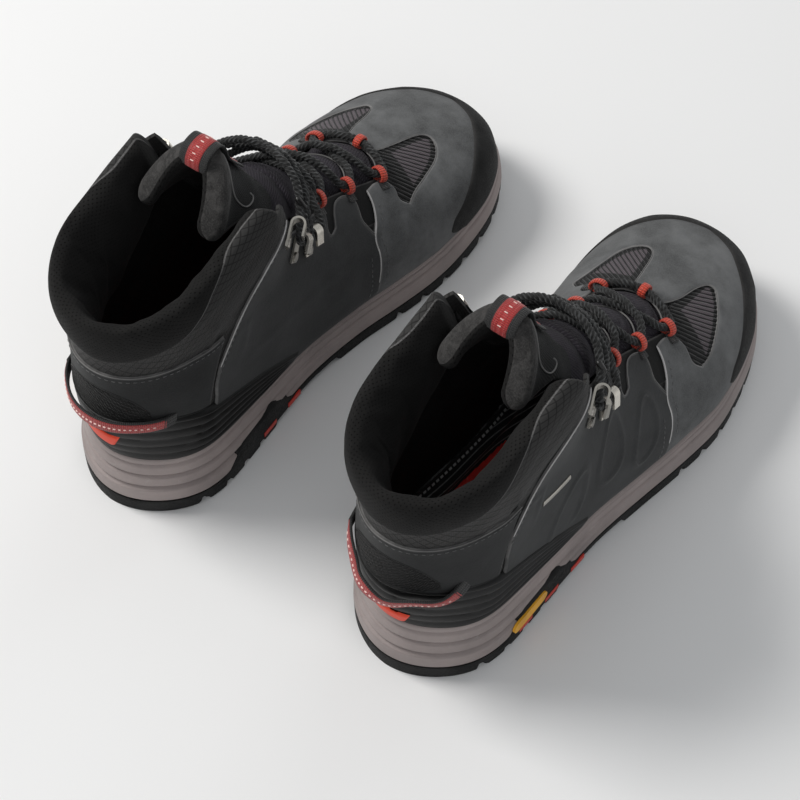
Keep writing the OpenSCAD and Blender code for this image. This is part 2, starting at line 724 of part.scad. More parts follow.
hook_rivets(RIGHT);  // right_hook_rivets
lace(RIGHT);  // right_lace
lace_tips(RIGHT);  // right_lace_tips
heel_overlay(RIGHT);  // right_heel_overlay
tongue_lower(RIGHT);  // right_tongue_lower
tongue_cuff(RIGHT);  // right_tongue_cuff
tongue_tab(RIGHT);  // right_tongue_tab
heel_loop(RIGHT);  // right_heel_loop
insole(RIGHT);  // right_insole
outsole(LEFT);  // left_outsole
outsole_inserts(LEFT);  // left_outsole_inserts
sole_badge(LEFT);  // left_sole_badge
midsole(LEFT);  // left_midsole
shank(LEFT);  // left_shank
insole_board(LEFT);  // left_insole_board
heel_cradle(LEFT);  // left_heel_cradle
heel_emblem(LEFT);  // left_heel_emblem
upper_shell(LEFT);  // left_upper_shell
lining(LEFT);  // left_lining
collar_pad(LEFT);  // left_collar_pad
toe_puff(LEFT);  // left_toe_puff
heel_counter(LEFT);  // left_heel_counter
toe_rand(LEFT);  // left_toe_rand
vamp(LEFT);  // left_vamp
quarter_lateral(LEFT);  // left_quarter_lateral
quarter_medial(LEFT);  // left_quarter_medial
vent_mesh(LEFT);  // left_vent_mesh
eyestay(LEFT);  // left_eyestay
lace_loops(LEFT);  // left_lace_loops
lace_hooks(LEFT);  // left_lace_hooks
hook_rivets(LEFT);  // left_hook_rivets
lace(LEFT);  // left_lace
lace_tips(LEFT);  // left_lace_tips
heel_overlay(LEFT);  // left_heel_overlay
tongue_lower(LEFT);  // left_tongue_lower
tongue_cuff(LEFT);  // left_tongue_cuff
tongue_tab(LEFT);  // left_tongue_tab
heel_loop(LEFT);  // left_heel_loop
insole(LEFT);  // left_insole
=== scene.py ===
# Looks of a pair of hiking boots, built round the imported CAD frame.
#
# Geometry is worked out once in one boot's own frame, in mm (heel at x = 0, toe +X, outer side +Y), on
# the same foot surface foot(u, v, d) as the CAD, then placed for each boot from the frame's positions.
# u runs from the toe (0) to the collar (16). v runs from the front line (0) round the outer side to the
# heel or sole line (1), and to -1 or 2 round the inner side. d is the distance out from the shell.

import json
import math

import bpy
import numpy as np
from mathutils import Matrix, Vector, noise
from mathutils.geometry import delaunay_2d_cdt


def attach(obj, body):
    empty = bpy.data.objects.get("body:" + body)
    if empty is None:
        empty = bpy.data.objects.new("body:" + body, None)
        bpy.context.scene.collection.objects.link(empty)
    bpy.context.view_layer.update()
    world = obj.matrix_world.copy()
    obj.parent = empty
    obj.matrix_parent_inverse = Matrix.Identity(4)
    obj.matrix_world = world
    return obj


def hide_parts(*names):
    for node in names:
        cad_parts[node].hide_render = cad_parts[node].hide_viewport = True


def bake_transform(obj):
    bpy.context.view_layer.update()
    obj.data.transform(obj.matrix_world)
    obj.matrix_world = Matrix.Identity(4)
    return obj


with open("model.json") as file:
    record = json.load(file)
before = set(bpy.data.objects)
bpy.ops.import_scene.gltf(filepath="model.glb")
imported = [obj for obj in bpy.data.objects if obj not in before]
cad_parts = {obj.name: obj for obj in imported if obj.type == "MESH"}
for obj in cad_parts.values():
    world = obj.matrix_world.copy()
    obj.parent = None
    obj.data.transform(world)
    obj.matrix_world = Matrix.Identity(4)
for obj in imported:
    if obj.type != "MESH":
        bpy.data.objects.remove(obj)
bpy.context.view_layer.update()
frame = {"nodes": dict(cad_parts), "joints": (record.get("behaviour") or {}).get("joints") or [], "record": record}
SIDES = ("right", "left")
MM = 0.001

# ---------------------------------------------------------------- foot surface

STATIONS = np.array([
    [298, 34, 298, 30, .50, 2.0, .50, 2.0], [295, 45, 294, 25, .60, 2.3, .35, 2.3],
    [285, 55, 284, 22, .65, 2.4, .30, 2.4], [268, 63, 267, 20, .68, 2.4, .28, 2.5],
    [245, 69, 243, 18, .70, 2.3, .27, 2.5], [221, 76, 215, 17, .72, 2.2, .26, 2.5],
    [199, 86, 184, 18, .75, 2.1, .25, 2.5], [178, 98, 148, 20, .72, 2.1, .22, 2.5],
    [160, 110, 104, 22, .60, 2.1, .20, 2.5], [146, 122, 58, 22, .45, 2.1, .18, 2.4],
    [136, 134, 17, 27, .38, 2.1, .22, 2.1], [129, 145, 5, 48, .34, 2.1, .30, 2.0],
    [124, 154, 1, 74, .30, 2.1, .36, 2.0], [120, 162, 2, 98, .26, 2.1, .40, 2.0],
    [116, 170, 1, 120, .22, 2.1, .42, 2.0], [112, 178, -4, 141, .18, 2.1, .42, 2.0],
    [108, 186, -8, 162, .17, 2.1, .42, 2.0]], float)
PLAN = np.array([
    [0, 30, 30, 0], [8, 34, 34, 0], [20, 36, 36, 0], [40, 37, 37, 0], [80, 38, 36, 0],
    [120, 40, 36, 0], [160, 45, 41, 0], [190, 49, 46, -1], [215, 51, 49, -2], [240, 49, 48, -4],
    [262, 44, 44, -6], [280, 34, 35, -8], [292, 22, 22, -9], [298, 6, 6, -9]], float)
ANKLE_HALF, SHAFT_HALF = 36.0, 42.0
OVERLAY_IN, OVERLAY_OUT = 0.8, 2.4
CHART = np.array([22.0, 130.0])     # rough mm per unit of u and of v, for flat work
FAR_IN = 50.0                       # "edge" value of points that are far from any cut edge, in mm


def spline(rows, at):
    """Smooth curve through the rows, at positions counted in rows."""
    rows, at = np.asarray(rows, float), np.asarray(at, float)
    n = len(rows)
    at = np.clip(at, 0, n - 1.000001)
    i = np.floor(at).astype(int)
    f = (at - i)[..., None]
    p0, p1, p2, p3 = (rows[np.clip(i + k, 0, n - 1)] for k in (-1, 0, 1, 2))
    return .5 * (2 * p1 + (p2 - p0) * f + (2 * p0 - 5 * p1 + 4 * p2 - p3) * f ** 2
                 + (3 * p1 - p0 - 3 * p2 + p3) * f ** 3)


def ease(a, b, x):
    """0 up to a, 1 from b, smooth between."""
    t = np.clip((x - a) / (b - a), 0, 1)
    return t * t * (3 - 2 * t)


def foot(u, v, d=0.0):
    """Points (x, y, z) of the foot surface, moved out by d."""
    u, v, d = np.broadcast_arrays(*(np.asarray(k, float) for k in (u, v, d)))
    xt, zt, xb, zb, a, p, b, q = np.moveaxis(spline(STATIONS, u), -1, 0)
    side = np.where(v > 1, v - 2, v)
    tip = np.clip(1 - u / 3.5, 0, 1) ** 1.3
    out = d * np.sqrt(1 - tip ** 2)
    t = (1 - np.cos(np.pi * np.abs(side))) / 2
    run = np.hypot(xb - xt, zb - zt)
    ax, az = (xb - xt) / run, (zb - zt) / run
    span = run + 2 * out
    x, z = xt + ax * (span * t - out), zt + az * (span * t - out)
    a = np.maximum(.03, (a * run + out) / span)
    b = np.maximum(.03, (b * run + out) / span)
    crown = (1 - np.clip(1 - t / a, 0, 1) ** p) ** (1 / p)
    keel = (1 - np.clip(1 - (1 - t) / b, 0, 1) ** q) ** (1 / q)
    row = spline(PLAN, np.interp(x, PLAN[:, 0], np.arange(len(PLAN))))
    low, high = 1 - ease(50, 110, z), ease(105, 150, z)
    half = (np.where(side >= 0, row[..., 1], row[..., 2]) * low
            + (ANKLE_HALF * (1 - high) + SHAFT_HALF * high) * (1 - low) + out)
    y = row[..., 3] * low + np.where(side >= 0, 1, -1) * half * crown * keel
    return np.stack([x + d * tip, y, z], -1)


def unit(rows):
    return rows / np.maximum(np.linalg.norm(rows, axis=-1, keepdims=True), 1e-9)


def travelled(path):
    """Distance along a path at each of its points."""
    return np.concatenate([[0], np.cumsum(np.linalg.norm(np.diff(path, axis=0), axis=1))])


def looked_up(at, run, rows):
    """The rows' values at distances at, where run is the distance of each row."""
    return np.stack([np.interp(at, run, rows[:, k]) for k in range(rows.shape[1])], 1)


def repeated(row, n):
    """n copies of one row."""
    return np.repeat(np.asarray(row, float)[None], n, 0)


def noise_at(points):
    """Smooth noise at each point of an array whose last axis is x, y, z."""
    flat = [noise.noise(Vector(p)) for p in points.reshape(-1, 3)]
    return np.array(flat).reshape(points.shape[:-1])


def normal(u, v):
    """Outward direction of the foot surface."""
    along_u = foot(np.add(u, .03), v, 1) - foot(np.add(u, -.03), v, 1)
    along_v = foot(u, np.add(v, .004), 1) - foot(u, np.add(v, -.004), 1)
    return unit(np.cross(along_v, along_u))


def up_boot(u, v):
    """Direction along the boot at one place on the surface."""
    return unit(foot(u + .05, v, 3) - foot(u - .05, v, 3))


def on_side(x, z):
    """Surface position (u, v) of a point given in the side view."""
    lo, hi = np.zeros_like(x), np.full_like(x, 16.0)
    for _ in range(26):
        m = (lo + hi) / 2
        s = spline(STATIONS, m)
        above = (x - s[..., 0]) * (s[..., 3] - s[..., 1]) > (z - s[..., 1]) * (s[..., 2] - s[..., 0])
        lo, hi = np.where(above, m, lo), np.where(above, hi, m)
    s = spline(STATIONS, lo)
    wx, wz = s[..., 2] - s[..., 0], s[..., 3] - s[..., 1]
    t = np.clip(((x - s[..., 0]) * wx + (z - s[..., 1]) * wz) / (wx ** 2 + wz ** 2), 0, 1)
    return np.stack([lo, np.arccos(1 - 2 * t) / np.pi], -1)


# ---------------------------------------------------------------- meshes

class Shape:
    """Vertices in boot mm, faces, and per vertex a texture place and a distance to the cut edge."""

    def __init__(self):
        self.parts, self.count = [], 0

    def add(self, verts, faces, uv=None, edge=None, mat=0):
        """mat is one material index, or one for each group of faces."""
        verts = np.asarray(verts, float).reshape(-1, 3)
        n = len(verts)
        uv = np.zeros((n, 2)) if uv is None else np.asarray(uv, float).reshape(-1, 2)
        edge = np.full(n, FAR_IN) if edge is None else np.asarray(edge, float).ravel()
        mats = mat if isinstance(mat, tuple) else (mat,) * len(faces)
        groups = [(np.asarray(f, int) + self.count, m) for f, m in zip(faces, mats) if len(f)]
        self.parts.append((verts, groups, uv, edge))
        self.count += n
        return self


def place(side):
    """Heel point, toe direction and outward direction of one boot, from the frame."""
    rest = next(m for m in frame["record"]["mounts"] if m["name"] == side + "_sole_rest")["pos_m"]
    hinge = next(j for j in frame["joints"] if j["name"] == side + "_insole_lift")["pos_m"]
    toe = Vector((hinge[0] - rest[0], hinge[1] - rest[1], 0)).normalized()
    out = Vector((-toe.y, toe.x, 0)) if side == "left" else Vector((toe.y, -toe.x, 0))
    return np.array(Vector(rest) - toe * 0.08), np.array(toe), np.array(out)


PLACES = {side: place(side) for side in SIDES}


def to_row(side, points):
    """Boot points in mm, placed in the frame in metres."""
    heel, toe, out = PLACES[side]
    points = np.asarray(points, float) * MM
    up = np.array([0, 0, 1.0])
    return heel + points[..., 0:1] * toe + points[..., 1:2] * out + points[..., 2:3] * up


def put_in_scene(name, data, at=(0, 0, 0), aim=None):
    o = bpy.data.objects.new(name, data)
    o.location = at
    if aim is not None:
        o.rotation_euler = (aim - Vector(at)).to_track_quat("-Z", "Y").to_euler()
    bpy.context.scene.collection.objects.link(o)
    return o


def publish(shape, name, materials, body="boot", replaces=None, sides=SIDES, angle=50,
            hinge=None):
    """Makes the piece for each boot, out of the named materials, and lets it ride on its body.

    hinge is the start and end, in boot mm, of the stretch where it would bend from the boot to the body; the piece
    is not bent: when hinge is given, its numbers are not used, the piece's placing is baked into its mesh and it
    is not put on its body.
    """
    used = np.unique(np.concatenate([g.ravel() for part in shape.parts for g, _ in part[1]]))
    index = np.zeros(shape.count, int)
    index[used] = np.arange(len(used))
    verts = np.concatenate([p[0] for p in shape.parts])[used]
    uv = np.concatenate([p[2] for p in shape.parts])[used] * MM
    edge = np.concatenate([p[3] for p in shape.parts])[used]
    for side in sides:
        faces, mats = [], []
        for g, mat in (pair for part in shape.parts for pair in part[1]):
            faces += index[g[:, ::-1] if side == "right" else g].tolist()
            mats += [mat] * len(g)
        mesh = bpy.data.meshes.new(side + "_" + name)
        mesh.from_pydata(to_row(side, verts).tolist(), [], faces)
        for material in materials.split():
            mesh.materials.append(M[material])
        mesh.polygons.foreach_set("material_index", mats)
        layer = mesh.uv_layers.new(name="UVMap")
        corner = np.zeros(len(mesh.loops), int)
        mesh.loops.foreach_get("vertex_index", corner)
        layer.data.foreach_set("uv", uv[corner].ravel())
        mesh.attributes.new("edge", "FLOAT", "POINT").data.foreach_set("value", edge)
        mesh.validate()
        mesh.shade_smooth()
        mesh.set_sharp_from_angle(angle=math.radians(angle))
        o = put_in_scene(side + "_" + name, mesh)
        if replaces:
            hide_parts(side + "_" + replaces)
        if hinge is not None:
            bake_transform(o)
        else:
            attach(o, side + "_" + body)


def quads(n, m, closed=False):
    """Faces of an n by m grid of points, wrapping across the rows if closed."""
    i, j = np.meshgrid(np.arange(n - 1), np.arange(m if closed else m - 1), indexing="ij")
    k = (j + 1) % m
    return np.stack([i * m + j, i * m + k, (i + 1) * m + k, (i + 1) * m + j], -1).reshape(-1, 4)


def pairs(x, y):
    """Grid of every x with every y."""
    return np.stack(np.meshgrid(x, y, indexing="ij"), -1)


def tube_faces(n, m):
    """Faces between n rings of m points, and fans over both ends, to points n * m and n * m + 1."""
    j = np.arange(m)
    k, size = (j + 1) % m, n * m
    first = np.stack([k, j, np.full(m, size)], -1)
    last = np.stack([j + size - m, k + size - m, np.full(m, size + 1)], -1)
    return quads(n, m, closed=True), np.concatenate([first, last])


def with_middles(rings):
    """The rings' points, then the middles of the first ring and the last."""
    return np.concatenate([rings.reshape(-1, 3), rings[0].mean(0)[None], rings[-1].mean(0)[None]])


def slab(n, m):
    """Faces of two stacked n by m grids: the first, the second, and the wall round their border."""
    rim = np.concatenate([np.arange(m), np.arange(1, n) * m + m - 1,
                          np.arange(m - 2, -1, -1) + (n - 1) * m, np.arange(n - 2, 0, -1) * m])
    nxt, size, face = np.roll(rim, -1), n * m, quads(n, m)
    return face[:, ::-1], face + size, np.stack([rim, nxt, nxt + size, rim + size], -1)


def skin(shape, u, v, top, base, mat=0, uv=None, edge=None):
    """Closed solid over a grid of surface positions, between offsets base and top."""
    up, down = foot(u, v, top), foot(u, v, base)
    uv = np.stack([CHART[0] * u, CHART[1] * v], -1) if uv is None else uv
    edges = None if edge is None else np.concatenate([edge.ravel(), edge.ravel() * 0 + FAR_IN])
    return shape.add(np.concatenate([up.reshape(-1, 3), down.reshape(-1, 3)]), slab(*u.shape),
                     np.concatenate([uv.reshape(-1, 2)] * 2), edges, mat)


def rounded(distance, radius):
    """Height share of an edge that rolls down over a radius."""
    return np.sqrt(1 - (1 - np.clip(distance / radius, 0, 1)) ** 2)


def strip(low, high, n, m, top, base, radius=1.0, mat=0, relief=None, shape=None):
    """Band between two surface lines, with rolled edges. relief adds height in mm; its s and k run
    from 0 to 1 along and across the band.
    """
    a = spline(low, np.linspace(0, len(low) - 1, n))
    b = spline(high, np.linspace(0, len(high) - 1, n))
    k = (1 - np.cos(np.linspace(0, 1, m) * np.pi)) / 2 * .35 + np.linspace(0, 1, m) * .65
    uv = a[:, None] + (b - a)[:, None] * k[None, :, None]
    u, v = uv[..., 0], uv[..., 1]
    pos = foot(u, v, top)
    run = np.cumsum(np.linalg.norm(np.diff(pos, axis=1, prepend=pos[:, :1]), axis=-1), 1)
    far = travelled(pos[:, m // 2])
    distance = np.minimum(np.minimum(run, run[:, -1:] - run),
                          np.minimum(far, far[-1] - far)[:, None])
    height = base + (top - base) * rounded(distance, radius)
    if relief is not None:
        s = np.repeat((far / far[-1])[:, None], m, 1)
        k = run / np.maximum(run[:, -1:], 1e-6)
        height = height + relief(s, k, u, v) * np.clip(distance / radius, 0, 1)
    chart = np.stack([np.repeat(far[:, None], m, 1), run], -1)
    return skin(shape or Shape(), u, v, height, base, mat, chart, distance)


def curve(points, gap=1.6):
    """Smooth (u, v) line through the points, in even steps of about gap mm."""
    rows = np.array(points, float)
    fine = spline(rows, np.linspace(0, len(rows) - 1, 30 * (len(rows) - 1) + 1))
    run = travelled(fine * CHART)
    at = np.linspace(0, run[-1], max(2, int(round(run[-1] / gap))) + 1)
    return looked_up(at, run, fine)


def outline(*arcs):
    """Closed outline from arcs that each start where the last one ended."""
    return np.concatenate([curve(a)[:-1] for a in arcs])


def moved(arc, sign=1, du=0, dv=0):
    """The line shifted by du and dv, and carried to the inner side if sign is -1."""
    return [(u + du, sign * (v + dv)) for u, v in arc]


def mirrored(arc):
    """The line on the inner side, run the other way, to close an outline."""
    return moved(arc, -1)[::-1]


def within(points, ring):
    """Which points lie inside the ring."""
    x, y = points[:, 0][:, None], points[:, 1][:, None]
    a, b = ring, np.roll(ring, -1, 0)
    crosses = (a[:, 1] > y) != (b[:, 1] > y)
    rise = b[:, 1] - a[:, 1]
    rise = np.where(np.abs(rise) < 1e-12, 1e-12, rise)
    at = a[:, 0] + (y - a[:, 1]) * (b[:, 0] - a[:, 0]) / rise
    return (crosses & (x < at)).sum(1) % 2 == 1


def rim_distance(points, ring):
    """Distance from each point to the nearest side of the ring."""
    side = np.roll(ring, -1, 0) - ring
    size = np.maximum((side ** 2).sum(1), 1e-12)
    best, step = np.empty(len(points)), 2000
    for k in range(0, len(points), step):
        p = points[k:k + step, None]
        t = np.clip(((p - ring) * side).sum(-1) / size, 0, 1)
        best[k:k + step] = np.linalg.norm(p - ring - t[..., None] * side, axis=-1).min(1)
    return best


def sheet(ring, top, base, cell=2.6, radius=1.0, relief=None, shape=None, worn=None):
    """Panel with a free outline in (u, v): a fine triangle mesh whose edges roll down.

    relief(u, v, distance) adds height in mm. worn(u, v), from 0 to 1, marks ridges that take the
    pale colour of a cut edge.
    """
    ring = np.asarray(ring) * CHART
    lo, hi = ring.min(0), ring.max(0)
    gx, gy = np.meshgrid(np.arange(lo[0], hi[0] + cell, cell),
                         np.arange(lo[1], hi[1] + cell, cell * .87))
    gx[1::2] += cell / 2
    inner = np.stack([gx.ravel(), gy.ravel()], -1)
    way = unit(np.roll(ring, -1, 0) - np.roll(ring, 1, 0))
    points = [ring]
    for offset in (.3 * radius, radius):
        for s in (1, -1):
            p = ring + s * offset * np.stack([-way[:, 1], way[:, 0]], -1)
            points.append(p[within(p, ring) & (rim_distance(p, ring) > offset * .93)])
    points.append(inner[within(inner, ring) & (rim_distance(inner, ring) > radius + .45 * cell)])
    n = len(ring)
    out = delaunay_2d_cdt([Vector(p) for p in np.concatenate(points)],
                          [(i, (i + 1) % n) for i in range(n)], [], 0, 1e-5)
    xy = np.array([tuple(p) for p in out[0]])
    tris = np.array([f for f in out[2] if len(f) == 3])
    tris = tris[within(xy[tris].mean(1), ring)]
    used = np.unique(tris)
    index = np.full(len(xy), -1)
    index[used] = np.arange(len(used))
    tris, xy = index[tris], xy[used]
    a, b, c = (xy[tris[:, k]] for k in range(3))
    turn = (b[:, 0] - a[:, 0]) * (c[:, 1] - a[:, 1]) - (b[:, 1] - a[:, 1]) * (c[:, 0] - a[:, 0])
    tris[turn > 0] = tris[turn > 0][:, ::-1]
    distance = rim_distance(xy, ring)
    u, v = xy[:, 0] / CHART[0], xy[:, 1] / CHART[1]
    height = base + (top - base) * rounded(distance, radius)
    if relief is not None:
        height = height + relief(u, v, distance) * np.clip(distance / radius, 0, 1)
    edge = distance
    if worn is not None:
        w = worn(u, v)
        edge = np.where(w > .02, np.minimum(distance, 3) * (1 - w) + .35 * w, distance)
    n = len(xy)
    under = np.where(distance < 1e-3, np.arange(n), np.arange(n) + n)
    return (shape or Shape()).add(
        np.concatenate([foot(u, v, height), foot(u, v, base)]), [tris, under[tris][:, ::-1]],
        np.concatenate([xy, xy]), np.concatenate([edge, edge * 0 + FAR_IN]))


def travelling_frame(path):
    """Directions across a path, carried along without twist."""
    way = unit(np.gradient(path, axis=0))
    a = np.zeros_like(path)
    a[0] = unit(np.cross(way[0], (0, 0, 1)))
    for i in range(1, len(path)):
        flat = a[i - 1] - way[i] * (a[i - 1] @ way[i])
        a[i] = flat / max(np.linalg.norm(flat), 1e-9)
    return a, np.cross(way, a)


def sweep(path, a, b, section, closed=False, mat=0, shape=None):
    """Solid swept along a path. section is (m, 2) or (n, m, 2) in mm along a and b."""
    path = np.asarray(path, float)
    n = len(path)
    section = np.broadcast_to(np.asarray(section, float), (n,) + np.asarray(section).shape[-2:])
    m = section.shape[1]
    verts = path[:, None] + a[:, None] * section[..., 0:1] + b[:, None] * section[..., 1:2]
    far = travelled(path)
    around = np.linspace(0, 1, m, endpoint=False)
    girth = np.linalg.norm(np.roll(section, -1, 1) - section, axis=-1).sum(1).max()
    uv = pairs(far, around * girth)
    faces, ends = tube_faces(n, m)
    if closed:
        first = np.arange(m)
        last = first + (n - 1) * m
        join = np.stack([last, np.roll(last, -1), np.roll(first, -1), first], -1)
        groups = [np.concatenate([faces, join])]
    else:
        groups = [faces, ends]
        verts, uv = with_middles(verts), np.concatenate([uv.reshape(-1, 2), uv[0:1, 0], uv[-1:, 0]])
    return (shape or Shape()).add(verts, groups, uv, None, mat)


def circle(m, ra=1.0, rb=None, power=2.0):
    """m points of an ellipse; a power above 2 makes it a rounded oblong."""
    t = np.linspace(0, 2 * np.pi, m, endpoint=False)
    c, s = np.cos(t), np.sin(t)
    return np.stack([ra * np.sign(c) * np.abs(c) ** (2 / power),
                     (ra if rb is None else rb) * np.sign(s) * np.abs(s) ** (2 / power)], -1)


def tube(path, radius, sides=8, mat=0, shape=None, pinch=True):
    """Round cord along a path. radius is a number or one value per point."""
    path = np.asarray(path, float)
    a, b = travelling_frame(path)
    r = np.broadcast_to(np.asarray(radius, float), (len(path),)).copy()
    if pinch:
        r[[0, -1]] *= .5
    return sweep(path, a, b, circle(sides)[None] * r[:, None, None], mat=mat, shape=shape)


def spaced(rows, at, gap):
    """The rows at even distances along the line at, which has one point per row."""
    run = travelled(at)
    return looked_up(np.linspace(0, run[-1], max(3, int(run[-1] / gap)) + 1), run, rows)


def smooth_path(points, gap=1.0):
    rows = np.asarray(points, float)
    fine = spline(rows, np.linspace(0, len(rows) - 1, 40 * (len(rows) - 1) + 1))
    return spaced(fine, fine, gap)


def surface_path(points, d, gap=1.0):
    """Smooth path over the surface through (u, v) points, at offset d."""
    rows = np.array(points, float)
    fine = spline(rows, np.linspace(0, len(rows) - 1, 40 * (len(rows) - 1) + 1))
    uv = spaced(fine, foot(fine[:, 0], fine[:, 1], d), gap)
    return foot(uv[:, 0], uv[:, 1], d), uv


def piping(points, d, radius=.5, shape=None, mat=0):
    path, _ = surface_path(points, d, 1.6)
    return tube(path, radius, 6, mat, shape)


STITCH, STITCH_GAP, STITCH_R = 2.3, 1.3, .3


def stitches(points, d, shape=None, mat=0):
    """Row of separate stitches along a surface line."""
    shape = shape or Shape()
    path, uv = surface_path(points, d, .5)
    run = np.linspace(0, np.linalg.norm(np.diff(path, axis=0), axis=1).sum(), len(path))
    out = normal(uv[:, 0], uv[:, 1])
    at = STITCH_GAP
    while at + STITCH < run[-1]:
        where = at + STITCH * np.array([0, .18, .5, .82, 1])
        p, n = looked_up(where, run, path), looked_up(where, run, out)
        p += n * STITCH_R * np.array([-.8, .15, .4, .15, -.8])[:, None]
        tube(p, STITCH_R * np.array([.5, .95, 1, .95, .5]), 6, mat, shape, pinch=False)
        at += STITCH + STITCH_GAP
    return shape


# ---------------------------------------------------------------- materials

class Finish:
    """Small helper that builds one node material. Texture scales are per metre."""

    def __init__(self, name):
        self.material = bpy.data.materials.new(name)
        self.material.use_nodes = True
        self.tree = self.material.node_tree
        self.shader = self.tree.nodes["Principled BSDF"]
        self.object_at = self.new("TexCoord").outputs["Object"]
        self.chart_at = self.new("UVMap").outputs[0]

    def new(self, kind, **sets):
        node = self.tree.nodes.new("ShaderNode" + kind)
        for k, value in sets.items():
            setattr(node, k, value)
        return node

    def put(self, socket, value):
        if isinstance(value, bpy.types.NodeSocket):
            self.tree.links.new(value, socket)
        elif isinstance(value, tuple) and len(value) == 3 and socket.type == "RGBA":
            socket.default_value = (*value, 1)
        else:
            socket.default_value = value

    def noise(self, scale, detail=3.0, rough=.55, distortion=0.0):
        node = self.new("TexNoise")
        self.put(node.inputs["Vector"], self.object_at)
        sizes = {"Scale": scale, "Detail": detail, "Roughness": rough, "Distortion": distortion}
        for name, value in sizes.items():
            node.inputs[name].default_value = value
        return node.outputs[0]

    def cells(self, scale):
        node = self.new("TexVoronoi")
        self.put(node.inputs["Vector"], self.object_at)
        node.inputs["Scale"].default_value = scale
        return node.outputs[0]

    def calc(self, op, a, b=0.0):
        node = self.new("Math", operation=op)
        self.put(node.inputs[0], a)
        self.put(node.inputs[1], b)
        return node.outputs[0]

    def mul(self, a, b):
        return self.calc("MULTIPLY", a, b)

    def add(self, a, b):
        return self.calc("ADD", a, b)

    def sub(self, a, b):
        return self.calc("SUBTRACT", a, b)

    def larger(self, a, b):
        return self.calc("MAXIMUM", a, b)

    def span(self, value, a, b, c=0.0, d=1.0):
        node = self.new("MapRange", interpolation_type="SMOOTHSTEP")
        for k, x in enumerate((value, a, b, c, d)):
            self.put(node.inputs[k], x)
        return node.outputs[0]

    def mix(self, share, a, b):
        node = self.new("Mix", data_type="RGBA")
        self.put(node.inputs[0], share)
        self.put(node.inputs[6], a)
        self.put(node.inputs[7], b)
        return node.outputs[2]

    def coat(self, color, share, strength, over):
        """The colour with another laid over it by share times strength."""
        return self.mix(self.mul(share, strength), color, over)

    def clouds(self, base, noise, dark, light):
        """The base colour drifting between a darker and a lighter tone."""
        return self.mix(self.span(noise, .3, .7), dim(base, dark), dim(base, light))

    def ridged(self, a, b, c=0.0, d=1.0):
        """c to d as the mesh's own shape turns from hollow to ridge."""
        return self.span(self.new("NewGeometry").outputs["Pointiness"], a, b, c, d)

    def chart(self, turn=0.0):
        """Texture place across and along the piece, turned, in metres."""
        parts = self.new("SeparateXYZ")
        self.put(parts.inputs[0], self.chart_at)
        x, y = parts.outputs[0], parts.outputs[1]
        c, s = math.cos(turn), math.sin(turn)
        along = self.add(self.mul(x, c), self.mul(y, s))
        across = self.add(self.mul(x, -s), self.mul(y, c))
        return along, across

    def ridges(self, value, pitch):
        """0 to 1 ridges with the given pitch in metres."""
        return self.span(self.calc("SINE", self.mul(value, 2 * math.pi / pitch)), -1, 1)

    def lines(self, value, pitch, width):
        """1 on thin lines with the given pitch, 0 between."""
        saw = self.calc("PINGPONG", value, pitch / 2)
        return self.span(saw, width * .5, width * 1.1, 1, 0)

    def edge(self, inner, outer):
        """1 at the cut edge of a panel, 0 further in than outer, in mm."""
        node = self.new("Attribute", attribute_name="edge")
        return self.span(node.outputs["Fac"], inner, outer, 1, 0)

    def done(self, color, rough, height=None, depth=.0003, metal=0.0, sheen=0.0, coat=0.0, specular=.3):
        """Sets the shader; depth is the height of the bump, in metres."""
        s = self.shader.inputs
        self.put(s["Base Color"], color)
        self.put(s["Roughness"], rough)
        self.put(s["Metallic"], metal)
        self.put(s["Specular IOR Level"], specular)
        if sheen:
            s["Sheen Weight"].default_value = sheen
            s["Sheen Roughness"].default_value = .45
        if coat:
            s["Coat Weight"].default_value = coat
            s["Coat Roughness"].default_value = .25
        if height is not None:
            bump = self.new("Bump")
            bump.inputs["Strength"].default_value = 1
            bump.inputs["Distance"].default_value = depth
            self.put(bump.inputs["Height"], height)
            self.put(s["Normal"], bump.outputs[0])
        return self.material


def dim(color, by):
    return tuple(c * by for c in color)


def grey(value, warm=0.0):
    return (value * (1 + warm), value, value * (1 - warm * .6))


def leather(name, base, edge_light=.5, cloud=.35):
    """Nubuck: a clouded nap, fine grain, and a paler cut edge."""
    f = Finish(name)
    tone = f.noise(26, 4, .6)
    patch = f.noise(95, 3, .6)
    nap = f.noise(1700, 3, .6)
    shade = f.add(f.mul(f.span(tone, .3, .7), .7), f.mul(f.span(patch, .3, .7), .3))
    color = f.mix(shade, dim(base, 1 - cloud), dim(base, 1 + cloud))
    color = f.coat(color, f.span(nap, .35, .7), .35, dim(base, 1.6))
    scuffed = f.mul(f.edge(.3, 1.3), f.span(f.noise(160, 3), .25, .7, .35, 1))
    color = f.coat(color, scuffed, edge_light, grey(.36, .03))
    height = f.add(f.mul(nap, .5), f.mul(f.cells(700), .35))
    return f.done(color, f.span(patch, .3, .7, .78, .95), height, .00022, sheen=.08, specular=.15)


def shaft_grid(f):
    """Thin dark lines of the shaft cloth's diagonal grid."""
    a, b = f.chart(math.radians(35))
    return f.larger(f.lines(a, .0044, .0004), f.lines(b, .0036, .0004))


def ripstop(name, base):
    """Shaft cloth: fine weave with a pressed diagonal grid."""
    f = Finish(name)
    grid = shaft_grid(f)
    x, y = f.chart()
    weave = f.mul(f.ridges(x, .0009), f.ridges(y, .0009))
    color = f.clouds(base, f.noise(30, 3), .8, 1.25)
    color = f.coat(color, weave, .5, dim(base, 1.7))
    color = f.coat(color, grid, .75, dim(base, .3))
    height = f.add(f.mul(weave, .35), f.mul(grid, -1.0))
    return f.done(color, .72, height, .0003, sheen=.06, specular=.22)


